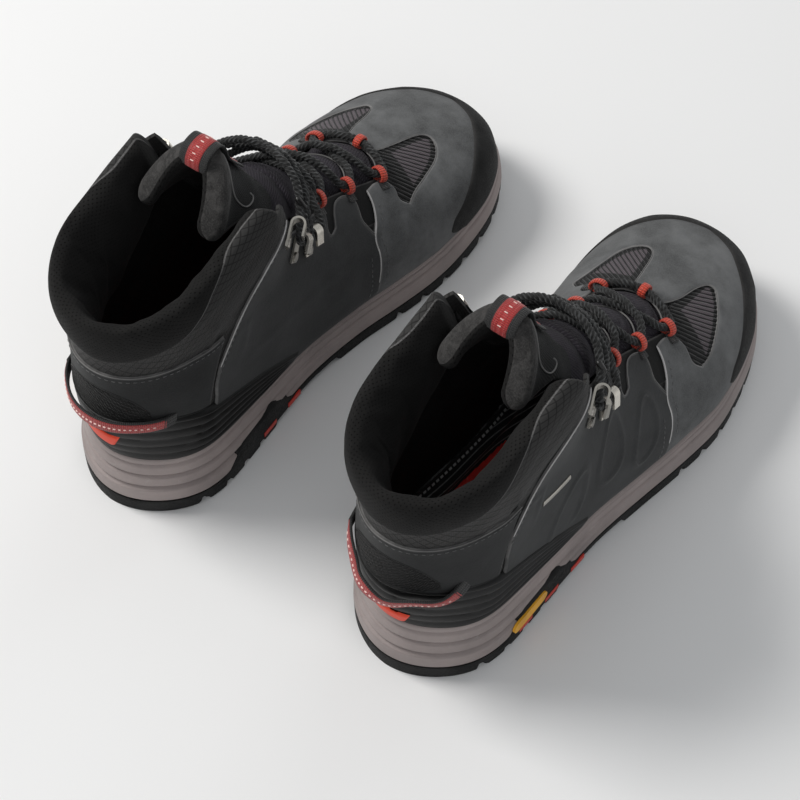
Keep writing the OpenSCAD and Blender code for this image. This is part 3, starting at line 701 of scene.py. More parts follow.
def mesh_cloth(name, base, pitch=.0026, hole=.45, sheen=.02, facing=None):
    """Spacer mesh: a net of small holes over fuzzy yarn; facing is the plain cloth past "edge" 10."""
    f = Finish(name)
    x, y = f.chart()
    a = f.calc("SINE", f.mul(x, 2 * math.pi / pitch))
    b = f.calc("SINE", f.mul(y, 2 * math.pi / pitch))
    pit = f.span(f.mul(a, b), hole, .9)
    yarn = f.noise(2200, 3, .6)
    color = f.clouds(base, f.noise(40, 3), .7, 1.35)
    color = f.coat(color, yarn, .4, dim(base, 2.2))
    color = f.mix(pit, color, dim(base, .2))
    if facing is not None:
        outside = f.edge(9.8, 10.2)
        grid = f.mul(shaft_grid(f), .75)
        color = f.mix(outside, color, f.mix(grid, facing, dim(facing, .3)))
        seam = f.sub(f.edge(10.3, 10.6), f.edge(9.4, 9.7))
        trim = f.mul(seam, f.span(yarn, .3, .6, .3, .8))
        color = f.mix(trim, color, grey(.16, .02))
        pit = f.mul(pit, f.edge(10.2, 9.8))
    height = f.add(f.mul(pit, -1.0), f.mul(yarn, .5))
    return f.done(color, .9, height, .0004, sheen=sheen, specular=.12)


def knit(name, base, pitch=.0016):
    """Coarse knitted cloth with slanted stitches."""
    f = Finish(name)
    a, _ = f.chart(math.radians(28))
    _, d = f.chart(math.radians(-28))
    rib = f.mul(f.ridges(a, pitch), f.ridges(d, pitch * 1.3))
    fuzz = f.noise(1500, 3, .65)
    color = f.clouds(base, f.noise(70, 3), .7, 1.3)
    color = f.coat(color, rib, .6, dim(base, 1.9))
    height = f.add(rib, f.mul(fuzz, .5))
    return f.done(color, .9, height, .00045, sheen=.06, specular=.15)


def vent_cloth(name, base):
    """Woven cloth with slanting dark valleys between its ribs."""
    f = Finish(name)
    parts = f.new("SeparateXYZ")
    f.put(parts.inputs[0], f.chart_at)
    across = f.add(f.mul(parts.outputs[0], .81),
                    f.mul(f.calc("ABSOLUTE", parts.outputs[1]), .59))
    rib = f.span(f.calc("PINGPONG", across, .00125), .00015, .0007)
    weave = f.ridges(parts.outputs[1], .0009)
    color = f.mix(rib, dim(base, .14), base)
    color = f.mix(f.mul(f.mul(weave, rib), .5), color, dim(base, 2.1))
    # The black backing shows as a border, widest towards the laces.
    lean = f.mul(f.calc("ABSOLUTE", parts.outputs[1]), .22)
    backing = f.larger(f.span(f.sub(parts.outputs[0], lean), .1045, .1055), f.edge(5.6, 6.2))
    color = f.mix(backing, color, grey(.006))
    return f.done(color, .75, f.add(rib, f.mul(weave, .3)), .0006, sheen=.15, specular=.3)


def suede(name, base, light):
    """Streaky suede that catches light along its nap."""
    f = Finish(name)
    streak = f.noise(120, 4, .65, distortion=1.5)
    nap = f.noise(1300, 4, .65)
    color = f.mix(f.span(streak, .35, .72), base, light)
    color = f.coat(color, f.span(nap, .4, .75), .45, dim(light, 1.5))
    height = f.add(nap, f.mul(streak, .8))
    return f.done(color, .9, height, .0004, sheen=.08, specular=.15)


def rubber(name, base, rough=.6, grain=900, dust=.25):
    """Moulded rubber with a fine grain and dusty, worn edges."""
    f = Finish(name)
    speck = f.noise(grain, 3, .6)
    cloud = f.noise(55, 4, .6)
    color = f.mix(f.span(cloud, .35, .7), base, tuple(c * 1.5 + .006 for c in base))
    color = f.coat(color, f.ridged(.5, .58), dust, grey(.2, .05))
    return f.done(color, f.span(speck, .3, .7, rough - .08, rough + .12), speck, .00018, specular=.16)


def foam(name, base):
    """Moulded midsole foam: soft colour drift, pores, scuffs, and painted shade in its hollows."""
    f = Finish(name)
    cloud = f.noise(22, 5, .6)
    pores = f.cells(1500)
    scuff = f.span(f.noise(140, 5, .7, distortion=.8), .58, .72)
    color = f.clouds(base, cloud, .82, 1.12)
    color = f.coat(color, scuff, .22, grey(.42, .08))
    # Painted shade: the colour is darkened where the mesh turns hollow, in the grooves and tucks.
    color = f.coat(color, f.ridged(.40, .49, 1, 0), .55, dim(base, .35))
    height = f.add(f.mul(pores, .6), f.mul(f.noise(700, 3), .6))
    return f.done(color, f.span(cloud, .3, .7, .55, .72), height, .00014, specular=.4)


def moulded(name, base, rough=.35, grain=1100, depth=.00008, coat=.1):
    """Satin moulded plastic."""
    f = Finish(name)
    fine = f.noise(grain, 3, .6)
    smear = f.noise(60, 4, .6)
    color = f.mix(f.span(smear, .3, .75), base, tuple(c * 1.35 + .004 for c in base))
    return f.done(color, f.span(smear, .3, .7, rough - .06, rough + .1), fine, depth, coat=coat,
                  specular=.25)


def metal(name, base, rough=.28):
    f = Finish(name)
    smear = f.noise(60, 3, .6)
    color = f.mix(f.span(smear, .35, .7), base, dim(base, .85))
    return f.done(color, f.span(smear, .3, .7, rough - .04, rough + .08), metal=1.0)


def webbing(name, base, pitch=.0012, dark=.45, rough=.6, sheen=.1):
    """Woven tape with fine cross ribs; chart x runs along the tape."""
    f = Finish(name)
    x, y = f.chart()
    rib = f.ridges(x, pitch)
    warp = f.ridges(y, pitch * .9)
    fuzz = f.noise(1800, 2)
    color = f.mix(rib, tuple(c * dark for c in base), base)
    color = f.coat(color, warp, .3, tuple(min(1, c * 1.5) for c in base))
    height = f.add(f.mul(rib, f.add(warp, .4)), f.mul(fuzz, .3))
    return f.done(color, rough, height, .0003, sheen=sheen, specular=.4)


def braid(name, base, light):
    """Round lace: crossing braid strands along the cord; their crowns and fuzz flecks are lighter, partly the
    lace's own light flecks and partly painted glints.
    """
    f = Finish(name)
    a, _ = f.chart(math.radians(52))
    _, b = f.chart(math.radians(-52))
    strands = f.mul(f.ridges(a, .0019), f.ridges(b, .0019))
    fuzz = f.noise(2400, 2)
    # Lighter strand crowns and flecks: partly the lace's own light flecks, partly painted glints.
    color = f.mix(strands, base, light)
    color = f.coat(color, f.span(fuzz, .5, .75), .25, dim(light, 1.8))
    height = f.add(strands, f.mul(fuzz, .4))
    return f.done(color, .7, height, .0004, sheen=.15, specular=.35)


def footbed_print(name):
    """Footbed cover: black with thin white slanting lines inside a dotted border."""
    f = Finish(name)
    a, b = f.chart(math.radians(96))
    line = f.lines(a, .0034, .0004)
    border = f.edge(3.6, 4.0)
    band = f.sub(border, f.edge(2.4, 2.7))
    dots = f.mul(band, f.span(f.calc("SINE", f.mul(b, 2 * math.pi / .0034)), -.5, -.2))
    inside = f.sub(1.0, border)
    mark = f.larger(f.mul(f.mul(line, inside), .45), dots)
    yarn = f.noise(1900, 3)
    color = f.mix(yarn, grey(.012), grey(.03))
    color = f.coat(color, mark, .85, grey(.62))
    return f.done(color, .8, f.add(yarn, f.mul(mark, .6)), .0003, sheen=.15, specular=.25)


M = {
    "nubuck": leather("nubuck", grey(.112, -.02), .45, .5),
    "quarter": leather("quarter_leather", grey(.046, -.02), .4, .34),
    "heel_grain": leather("heel_grain", grey(.024, -.02), .4, .3),
    "ripstop": ripstop("ripstop", grey(.030, .04)),
    "lining": mesh_cloth("lining_mesh", grey(.007, .03)),
    "collar": mesh_cloth("collar_mesh", grey(.010, .03), .003, .55, .03, grey(.040, .02)),
    "knit": knit("collar_knit", grey(.011, .02)),
    "suede": suede("tongue_suede", grey(.026, .03), grey(.062, .04)),
    "tongue_front": knit("tongue_cloth", grey(.016, -.02), .0009),
    "stretch": knit("stretch_cloth", (.030, .027, .033), .0011),
    "vent": vent_cloth("vent_cloth", (.075, .063, .070)),
    "stay": leather("eyestay_black", grey(.011), .2, .2),
    "rand": rubber("rand_rubber", grey(.010), .7, 1100, .1),
    "rubber": rubber("sole_rubber", grey(.010), .62, 800, .15),
    "foam": foam("midsole_foam", (.315, .268, .258)),
    "cradle": moulded("cradle_black", grey(.008), .45, 900, .00010, 0),
    "emblem": moulded("emblem_red", (.66, .055, .022), .5),
    "accent": moulded("accent_red", (.50, .035, .022), .45),
    "badge": moulded("badge_yellow", (.72, .36, .03), .42),
    "loop": webbing("loop_red", (.62, .060, .030), .0011, .45, .42),
    "tape_red": webbing("tape_red", (.42, .030, .028), .0010, .55, .38, .15),
    "tape_black": webbing("tape_black", grey(.016), .0010, .5, .55),
    "tape_dots": moulded("tape_dots", (.72, .52, .48), .5),
    "hook": metal("hook_metal", (.62, .59, .53), .26),
    "rivet": metal("rivet_metal", (.42, .40, .37), .34),
    "lace": braid("lace_black", grey(.005), grey(.050, -.05)),
    "lace_tip": moulded("lace_tip", grey(.015), .3),
    "thread": webbing("thread_grey", grey(.17), .0006, .6, .7),
    "piping": moulded("piping_grey", grey(.46, .02), .6, 1500, .0001, 0),
    "piping_soft": moulded("piping_soft", grey(.15, .02), .7, 1500, .0001, 0),
    "piping_dark": moulded("piping_dark", grey(.02), .5, 1500, .0001, 0),
    "footbed": footbed_print("footbed_print"),
    "steel": metal("shank_steel", (.42, .43, .44), .35),
    "board": leather("fibre_board", (.45, .37, .25), .1, .15),
    "stiffener": moulded("stiffener", (.5, .44, .33), .6),
    "foam_red": foam("footbed_red", (.95, .045, .030)),
}


# ---------------------------------------------------------------- sole

HALF_U = np.concatenate([np.linspace(0, 8, 260), np.linspace(8, 10.84, 160)[1:]])


def ring_line():
    """Half plan outline near the sole edge, from toe to heel, as (u, v)."""
    z = np.interp(HALF_U, [0, 1, 3, 6, 8, 9, 10.8], [32, 35, 36, 34, 38, 44, 44])
    s = spline(STATIONS, HALF_U)
    t = np.clip((z - s[:, 1]) / (s[:, 3] - s[:, 1]), 0, 1)
    v = np.arccos(1 - 2 * t) / np.pi
    return HALF_U, v


RING_POINTS = 420


def sole_outline():
    """Closed plan outline (x, y) of the foot form, outer side first, and its outward normals."""
    u, v = ring_line()
    outer, inner = foot(u, v), foot(u, -v)
    ring = np.concatenate([outer, inner[::-1]])[:, :2]
    closed = np.concatenate([ring, ring[:1]])
    run = travelled(closed)
    heel, half = run[len(u) - 1], RING_POINTS // 2
    at = np.concatenate([np.linspace(0, heel, half, endpoint=False),
                         np.linspace(heel, run[-1], half, endpoint=False)])
    ring = looked_up(at, run, closed)
    for _ in range(6):
        ring = (np.roll(ring, 1, 0) + ring * 2 + np.roll(ring, -1, 0)) / 4
    way = np.roll(ring, -3, 0) - np.roll(ring, 3, 0)
    out = unit(np.stack([way[:, 1], -way[:, 0]], -1)) * -1
    centre = ring.mean(0)
    if ((ring - centre) * out).sum(1).mean() < 0:
        out = -out
    return ring, out


def ground(x):
    """Height of the ground line under the sole, which rises at the toe."""
    return np.where(x < 215, 0, 16 * (np.clip(x - 215, 0, None) / 88) ** 1.7)


def sole_edge(x):
    """Height of the midsole's upper edge."""
    return np.interp(x, [-10, 10, 55, 85, 120, 160, 215, 250, 275, 290, 310],
                     [43, 43, 41, 37, 32, 29, 29, 31, 34, 38, 40])


def sole_flare(x):
    """How far the sole stands out past the foot form."""
    return np.interp(x, [0, 60, 110, 150, 200, 250, 285, 300], [6.6, 5.6, 3, 2.4, 4.3, 4.3, 5.3, 6.3])


LUG, RUBBER = 5.0, 4.0              # height of the lugs and of the rubber above them, in mm
RING, RING_OUT = sole_outline()


def soft_flare(x):
    return sole_flare(x[:, None] + np.linspace(-14, 14, 9)).mean(1)


def soft_edge(x):
    return sole_edge(x[:, None] + np.linspace(-12, 12, 9)).mean(1)


def groove(s, centre, width):
    """1 in a groove at centre, falling off to 0 on both sides."""
    return np.exp(-((s - centre) / width) ** 2)


def build_midsole():
    x = RING[:, 0]
    flare, top = soft_flare(x), soft_edge(x)
    heelward = 1 - ease(70, 150, x)
    arch = ease(90, 130, x) * (1 - ease(150, 200, x))
    levels = np.concatenate([[0, .015, .04], np.linspace(.07, .95, 46), [.97, .99, 1.0]])
    rows = []
    for s in levels:
        push = np.interp(s, [0, .06, .3, .5, .7, .86, 1], [1.0, 1.05, 1.02, .74, .62, .50, .36])
        drift = .10 * ease(20, 110, x)
        cut = (2.8 * groove(s, .34 - drift, .030) * heelward
               + 2.3 * groove(s, .58 - drift * 1.4, .028) * heelward
               + 2.0 * groove(s, .83 + .03 * arch, .030) * (1 - .3 * heelward)
               + 1.6 * groove(s, .55, .04) * (1 - heelward))
        lip = .7 * ease(.84, .90, s) * (1 - ease(.95, 1.0, s))
        tuck = 1.2 * (1 - ease(0, .05, s)) + .9 * ease(.965, 1.0, s)
        out = flare * push - cut + lip - tuck
        base = ground(x + RING_OUT[:, 0] * out) + LUG + RUBBER + .15
        rows.append(np.concatenate([RING + RING_OUT * out[:, None], (base + (top - base) * s)[:, None]],
                                   1))
    inner = RING + RING_OUT * -3.0
    rows.append(np.concatenate([inner, (top - 1.5)[:, None]], 1))
    floor = np.maximum(ground(x) + LUG + RUBBER + .9, 14)
    rows.append(np.concatenate([RING + RING_OUT * -6.0, np.minimum(floor + 2, top - 3)[:, None]], 1))
    grid = np.array(rows)
    n, m = grid.shape[:2]
    faces = quads(n, m, closed=True)
    run = travelled(RING)
    uv = np.stack([np.repeat(run[None], n, 0), grid[..., 2]], -1).reshape(-1, 2)
    cap = cap_faces(m)
    shape = Shape().add(grid, [faces[:, ::-1], cap, cap[:, ::-1] + (n - 1) * m], uv)
    publish(shape, "midsole_foam", "foam", replaces="midsole", angle=60)


def cap_faces(m):
    """Faces across a ring of m points, joining point j to its opposite."""
    j = np.arange(m // 2 - 1)
    return np.stack([j + 1, j, m - 1 - j, m - 2 - j], -1)


WRAP_FROM, WRAP_TO = 36, 112        # stretch of the sole's edge, in mm from the heel


def build_sole_wraps():
    """Rubber that climbs the sole's side in front of the heel, on both sides."""
    shape = Shape()
    half = len(RING) // 2
    for part in (slice(0, half), slice(half, None)):
        ring, out = RING[part], RING_OUT[part]
        ok = (ring[:, 0] > WRAP_FROM) & (ring[:, 0] < WRAP_TO)
        ring, out = ring[ok], out[ok]
        x = ring[:, 0]
        flare = soft_flare(x)
        height = .4 + 12.5 * ease(38, 58, x) * (1 - ease(84, 110, x))
        share = np.linspace(0, 1, 14)
        lean = np.interp(share, [0, .5, 1], [1.05, 1.03, .93])
        edge = 1 - rounded(np.minimum(share[None] + .5, 1 - share[None]) * height[:, None], 1.5)
        push = flare[:, None] * lean[None] + .5 - 1.2 * edge
        low = ground(x) + LUG + .3
        z = low[:, None] + (3.6 + height)[:, None] * share[None]
        plan = ring[:, None] + out[:, None] * push[..., None]
        back = ring[:, None] + out[:, None] * (push[..., None] - 2.2)
        verts = np.concatenate([np.concatenate([side, z[..., None]], -1).reshape(-1, 3)
                                for side in (plan, back)])
        shape.add(verts, [faces[:, ::-1] for faces in slab(*push.shape)], verts[:, [0, 2]])
    publish(shape, "sole_wrap_rubber", "rubber", angle=50)


EDGE_CUTS = (16, 31, 46, 61, 168, 184, 200, 216, 232, 248, 264, 280)     # grooves between the lugs
CENTRE_CUTS = (24, 39, 54, 69, 160, 176, 192, 208, 224, 240, 256, 272)


def tread_depth(x, y):
    """Depth of the tread at a plan point, as a share of the lug depth."""
    t = np.abs(y)
    deep = np.zeros_like(x)
    for start in EDGE_CUTS:
        line = start + (t - 9) * .40
        deep = np.maximum(deep, (1 - ease(1.6, 2.6, np.abs(x - line))) * (t > 8))
    deep = np.maximum(deep, ease(86, 89, x) * (1 - ease(139, 142, x)))
    for start in CENTRE_CUTS:
        deep = np.maximum(deep, (1 - ease(2.6, 3.6, np.abs(x - start))) * (1 - ease(8.5, 10, t)))
    return deep


def build_outsole():
    """Lugged underside, flat top and a slightly bulged wall between them."""
    half = len(RING) // 2
    rim = RING + RING_OUT * soft_flare(RING[:, 0])[:, None]
    fine = np.linspace(0, half - 1, 330)
    outer, inner = (looked_up(fine, np.arange(half), side) for side in (rim[:half], rim[::-1][:half]))
    across = np.linspace(0, 1, 81)
    across = .5 - .5 * np.cos(across * np.pi) * .25 - .5 * (1 - 2 * across) * .75
    plan = inner[:, None] + (outer - inner)[:, None] * across[None, :, None]
    px, py = plan[..., 0], plan[..., 1]
    deep = tread_depth(px, py)
    edge_mm = np.minimum(across, 1 - across)[None] * np.linalg.norm(outer - inner, axis=1)[:, None]
    z = ground(px) + LUG * deep + .9 * (1 - rounded(edge_mm, 1.6)) * (1 - deep)
    low, high, middle = (np.stack([px, py, h], -1).reshape(-1, 3)
                         for h in (z, ground(px) + LUG + RUBBER, ground(px) + LUG + .4))
    border = slab(*px.shape)[2][:, 0]
    count = len(border)
    ring_low, ring_high, ring_mid = low[border], high[border], middle[border]
    bulge = np.concatenate([ring_mid[:, :2] - ring_mid[:, :2].mean(0), np.zeros((count, 1))], 1)
    bulge = unit(bulge) * .5
    levels = [ring_low]
    for s, b in ((.25, .1), (.5, .3), (.75, .45)):
        levels.append(ring_low + (ring_high - ring_low) * s + bulge * b)
    levels += [ring_high - np.array([0, 0, .8]) + bulge * .4, ring_high]
    wall = np.concatenate(levels)
    faces = quads(*px.shape)
    shape = Shape().add(np.concatenate([low, high]), [faces, faces[:, ::-1] + len(low)],
                        np.concatenate([plan.reshape(-1, 2)] * 2))
    shape.add(wall, [quads(len(levels), count, closed=True)[:, ::-1]], wall[:, [0, 2]])
    publish(shape, "outsole_rubber", "rubber", replaces="outsole", angle=40)


# ---------------------------------------------------------------- main panels

# Offsets of the leather panels and what lies on them, in mm.
PANEL_TOP, PANEL_BASE, PIPING_AT, STITCH_AT = 2.3, .7, 2.0, 2.25

RAND_EDGE = [(4.68, .575), (4.58, .53), (4.3, .485), (3.95, .42), (3.4, .315), (2.75, .215),
             (2.2, .125), (1.8, 0)]
TIP_OUT = [(5.36, 0), (5.38, .035), (5.2, .07), (4.75, .098), (4.2, .112), (3.88, .135), (3.82, .17),
           (4.0, .205), (4.3, .255), (4.65, .3), (5.15, .355), (5.48, .375)]
TAB_OUT = [(5.48, .375), (5.64, .34), (5.6, .27), (5.68, .215)]
TIP_IN = [(5.36, 0), (5.3, -.04), (5.1, -.058), (4.6, -.067), (4.0, -.08), (3.8, -.11), (3.9, -.16),
          (4.2, -.21), (4.7, -.25), (5.2, -.29), (5.5, -.33)]
TAB_IN = [(5.5, -.33), (5.66, -.3), (5.6, -.25), (5.68, -.205)]
SEAM = [(6.36, .222), (6.4, .28), (6.52, .35), (6.66, .415), (6.6, .495), (6.55, .635), (6.5, .82)]


def round_foot(us, n, gap=0.0):
    """Grid of (u, v) from one throat edge round the foot to the other, gap further in than the edge."""
    throat = np.interp(us, [0, 5.15, 5.7, 8.5, 10, 16], [.003, .003, .19, .19, .215, .225]) + gap
    v = throat[:, None] + (2 - 2 * throat)[:, None] * np.linspace(0, 1, n)[None]
    return np.repeat(us[:, None], n, 1), v


def build_shell():
    u, v = round_foot(np.concatenate([np.linspace(.05, 5.1, 60), np.linspace(5.16, 14.3, 110)]), 150)
    side = np.minimum(v, 2 - v)
    ridge = groove(side, .50 + .05 * (u - 12), .018) + groove(side, .60 - .02 * (u - 12), .018)
    ridge = ridge * ease(11.4, 12.2, u) * (1 - ease(13.2, 13.9, u))
    puff = .9 * ease(12.2, 13.2, u) * (1 - ease(13.6, 14.3, u))
    shape = skin(Shape(), u, v, .2 + puff + .8 * ridge, -1.5)
    publish(shape, "shell_cloth", "ripstop", replaces="upper_shell")


def build_vamp():
    hidden = [(4.0, .82), (4.05, .74), (4.28, .645), (4.38, .59), (4.2, .545), (3.85, .48), (3.35, .38),
              (2.65, .275), (2.1, .185), (1.6, .08), (1.45, 0)]
    tab_top = [(5.68, .215), (6.0, .205), (6.36, .222)]
    tab_top_in = [(5.68, -.205), (6.0, -.2), (6.36, -.222)]
    sole_line = [(6.5, .82), (5.2, .84), (4.0, .82)]
    ring = outline(TIP_OUT, TAB_OUT, tab_top, SEAM, sole_line, hidden, mirrored(hidden),
                   mirrored(sole_line), mirrored(SEAM), tab_top_in[::-1], TAB_IN[::-1], TIP_IN[::-1])

    def relief(u, v, distance):
        """Faint crease lines across the flex zone and an embossed drop on each side."""
        side = np.abs(v)
        crease = (.35 * np.sin(u * 9 + 2 * np.sin(v * 9)) * ease(4.2, 4.8, u) * (1 - ease(5.3, 6.0, u))
                  * ease(.3, .4, side))
        drop = np.hypot((u - 5.95) / .42, (side - .48 - .12 * (u - 5.95)) / .115)
        return -.5 * np.exp(-((drop - 1) / .09) ** 2) * ease(1.5, 3, distance) + .25 * crease

    shape = sheet(ring, PANEL_TOP, PANEL_BASE, 2.2, 1.0, relief=relief)
    rim = Shape()
    publish(shape, "vamp_leather", "nubuck", replaces="vamp", angle=60)
    for sign in (1, -1):
        piping(moved(SEAM[:6], sign), 2.05, .5, rim)
    for arc in (TIP_OUT[1:], TIP_IN[1:]):
        piping(arc, PIPING_AT, .26, rim, 2)
    for sign in (1, -1):
        stitches(moved(SEAM[1:6], sign, -.16), STITCH_AT, rim, 1)
    publish(rim, "vamp_edging", "piping thread piping_soft")


def build_rand():
    drop = [(4.68, .575), (4.7, .61), (4.58, .645), (4.3, .675), (4.12, .735), (4.0, .82)]
    low = [(4.0, .82), (2.6, .84), (1.2, .84), (.06, .8)]
    front = [(.06, .8), (.06, .3), (.06, 0)]
    ring = outline(RAND_EDGE[::-1], drop, low, front, mirrored(front), mirrored(low), mirrored(drop),
                   moved(RAND_EDGE, -1))
    shape = sheet(ring, 3.1, PANEL_BASE, 2.4, 1.2)
    publish(shape, "rand_rubber", "rand", replaces="toe_rand", angle=60)


def build_vents():
    out = [(5.1, .095), (4.5, .09), (3.78, .10), (3.62, .16), (3.9, .235), (4.3, .29), (4.7, .34),
           (5.2, .395),
           (5.7, .40), (5.85, .31), (5.75, .20), (5.4, .135), (5.1, .095)]
    inn = [(5.1, -.05), (4.5, -.05), (3.75, -.07), (3.6, -.13), (3.9, -.2), (4.3, -.25), (4.8, -.29),
           (5.3, -.33),
           (5.75, -.34), (5.85, -.28), (5.75, -.19), (5.4, -.1), (5.1, -.05)]

    def ribs(u, v, distance):
        phase = (22 * u * .81 + 130 * np.abs(v) * .59) / 2.5
        return .7 * np.abs(np.sin(np.pi * phase)) ** .7

    shape = Shape()
    for ring in (out, inn):
        sheet(outline(ring), .75, .1, 1.1, .8, relief=ribs, shape=shape)
    publish(shape, "vent_cloth", "vent", replaces="vent_mesh", angle=70)


QUARTER_TOP = [(6.62, .40), (6.8, .345), (6.86, .315), (6.84, .25), (6.92, .215)]
TAB2 = [(6.92, .215), (7.2, .205), (7.5, .215), (7.66, .25), (7.72, .3)]
NOTCH2 = [(7.72, .3), (7.9, .315), (8.02, .29), (8.02, .24), (8.12, .21)]
THROAT = [(8.12, .21), (8.6, .21), (9.4, .222), (10.4, .236), (11.6, .24), (12.6, .24)]
QUARTER_REAR = [(12.6, .24), (12.9, .30), (12.75, .36), (12.3, .42), (11.7, .49), (11.35, .575)]
QUARTER_BACK = [(11.35, .575), (11.0, .61), (10.6, .635), (10.15, .70), (9.7, .76)]
QUARTER_FOOT = [(9.7, .76), (9.2, .80), (8.2, .82), (7.2, .82), (6.45, .82)]
QUARTER_SEAM = [(6.45, .82), (6.5, .635), (6.55, .495), (6.6, .43), (6.62, .40)]


def quarter_shape(sign):
    arcs = (QUARTER_TOP, TAB2, NOTCH2, THROAT, QUARTER_REAR, QUARTER_BACK, QUARTER_FOOT, QUARTER_SEAM)
    ring = outline(*arcs)
    if sign < 0:
        ring = ring * np.array([1, -1])
    ovals = ((7.27, .482, .28, .128, -.2), (8.28, .447, .32, .120, -2.0), (9.02, .550, .33, .112, -1.7))

    def ridge(u, v):
        """Raised outlines of the three pressed ovals."""
        side, h = np.abs(v), 0 * u
        for cu, cv, ru, rv, lean in ovals:
            r = np.hypot((u - cu - lean * (side - cv)) / ru, (side - cv) / rv)
            h = np.maximum(h, np.exp(-((r - 1) / .12) ** 2))
        return h * (sign > 0) * (1 - ease(.600, .635, side) * ease(8.0, 8.4, u))

    def relief(u, v, distance):
        side = np.abs(v)
        h = ridge(u, v)
        if sign < 0:
            r = (side - .47 - .02 * (u - 8)) / .012
            h = h + .35 * np.exp(-r ** 2) * ease(7, 7.6, u) * (1 - ease(9.6, 10.2, u))
        vee = np.abs(side - .47 - .35 * np.abs(u - 11.1) * .22)
        h = h + .6 * np.exp(-(vee / .012) ** 2) * ease(10.4, 10.8, u) * (1 - ease(11.6, 12, u))
        return h * ease(1.5, 3, distance)

    return sheet(ring, PANEL_TOP, PANEL_BASE, 1.3 if sign > 0 else 2.3, 1.0, relief=relief,
                 worn=lambda u, v: .8 * ridge(u, v))


def build_quarters():
    for name, sign in (("lateral", 1), ("medial", -1)):
        shape = quarter_shape(sign)
        publish(shape, f"quarter_{name}_leather", "quarter", replaces="quarter_" + name,
                angle=60)
        edging = Shape()
        piping(moved(QUARTER_REAR, sign), PIPING_AT, .36, edging)
        for arc in (QUARTER_TOP, TAB2, NOTCH2):
            piping(moved(arc, sign), PIPING_AT, .26, edging, 2)
        seam = [(6.82, .47), (6.78, .55), (6.7, .64), (6.7, .72)]
        for arc in (moved(THROAT, sign, .02, .028), moved(QUARTER_REAR[1:], sign, -.13, .012),
                    moved(seam, sign)):
            stitches(arc, STITCH_AT, edging, 1)
        publish(edging, f"quarter_{name}_edging", "piping thread piping_soft")


def build_eyestay():
    shape = Shape()
    for sign in (1, -1):
        low = [(5.35, .13), (5.8, .182), (8.5, .182), (10, .205), (12.75, .215)]
        high = [(5.5, .33), (6.0, .36), (8.6, .35), (10, .3), (12.75, .30)]
        strip(moved(low, sign), moved(high, sign), 120, 14, 1.15, .25, .8, shape=shape)
    publish(shape, "eyestay_layer", "stay", replaces="eyestay")


CRADLE_LOW = [(106, 38), (80, 38), (45, 40), (18, 41), (5.2, 42)]
CRADLE_HIGH = [(112, 40), (84, 53), (45, 68), (16, 80), (1.5, 83)]
OVERLAY_LOW = [(12.12, 1.0), (12.12, .94), (12.08, .85), (11.85, .78), (11.45, .71), (10.9, .645)]
HEEL_ARCH_LOW = [(12.16, 1.0), (12.16, .93), (12.14, .86), (12.08, .80)]
HEEL_ARCH_HIGH = [(13.25, 1.0), (13.17, .93), (12.85, .86), (12.28, .80)]
OVERLAY_HIGH = [(13.80, 1.0), (13.77, .94), (13.66, .85), (13.42, .75), (12.98, .645), (12.1, .535)]


def side_line(points):
    """Surface line through side-view points (x, z), ending on the heel line."""
    rows = spline(np.array(points, float), np.linspace(0, len(points) - 1, 60))
    uv = on_side(rows[:, 0], rows[:, 1])
    uv[-1, 1] = 1.0
    return uv


def round_heel(uv):
    """Carries a line that ends on the heel line round to the inner side."""
    uv = np.asarray(uv, float)
    back = uv[:-1][::-1].copy()
    back[:, 1] = 2 - back[:, 1]
    return np.concatenate([uv, back])


def build_cradle():
    low, high = round_heel(side_line(CRADLE_LOW)), round_heel(side_line(CRADLE_HIGH))

    def ribs(s, k, u, v):
        fade = ease(0, .1, s) * (1 - ease(.9, 1, s))
        wave = np.abs(np.sin(np.pi * 5.5 * k)) ** .6
        return (-1.5 + 1.5 * wave) * fade * (1 - ease(.9, .97, k))
    shape = strip(low, high, 300, 56, 3.4, .8, 1.2, relief=ribs)
    publish(shape, "cradle_shell", "cradle", replaces="heel_cradle", angle=60)


def evened(rows):
    """81 of the rows, spread evenly."""
    return rows[np.round(np.linspace(0, len(rows) - 1, 81)).astype(int)]


def build_heel_overlay():
    low, high, arch_low, arch_high = (
        evened(round_heel(curve(line[::-1], 2.5)))
        for line in (OVERLAY_LOW, OVERLAY_HIGH, HEEL_ARCH_LOW, HEEL_ARCH_HIGH))
    shape = strip(low, high, 240, 26, 2.7, .8, 1.1)
    strip(arch_low, arch_high, 140, 22, 2.85, 1.5, .9, mat=1, shape=shape,
          relief=lambda s, k, u, v: .2 * np.sin(k * 44) ** 2)
    publish(shape, "heel_overlay_leather", "heel_grain knit", replaces="heel_overlay",
            angle=60)
    edging = Shape()
    piping(high[::3], 2.3, .32, edging)
    piping(low[::3], 2.3, .4, edging, 1)
    piping(arch_high[::3], 2.8, .28, edging, 1)
    stitches(moved(high[::4], 1, -.13), 2.6, edging, 2)
    publish(edging, "heel_overlay_edging", "piping_soft piping_dark thread")


# ---------------------------------------------------------------- collar, lining and footbed

PAD = np.array([[12.5, -3.6], [13.4, -2.9], [14.0, -1.8], [14.25, .3], [14.5, 1.6], [14.9, 1.7],
                [15.25, .6],
                [15.5, -1.8], [15.55, -5.2], [15.4, -9.2], [14.9, -12.8], [14.1, -14.8], [13.2, -14.6],
                [12.4, -12.2], [12.0, -8.6], [12.1, -5.4]])


COLLAR_START, COLLAR_SPAN, COLLAR_END = .245, 1.51, 1.755       # places v of the pad's two ends


def closed_spline(rows, n):
    rows = np.concatenate([rows[-2:], rows, rows[:3]])
    return spline(rows, np.linspace(2, len(rows) - 3, n, endpoint=False))


CLOTH_PRESSURE, CLOTH_FRAMES = 4.0, 20


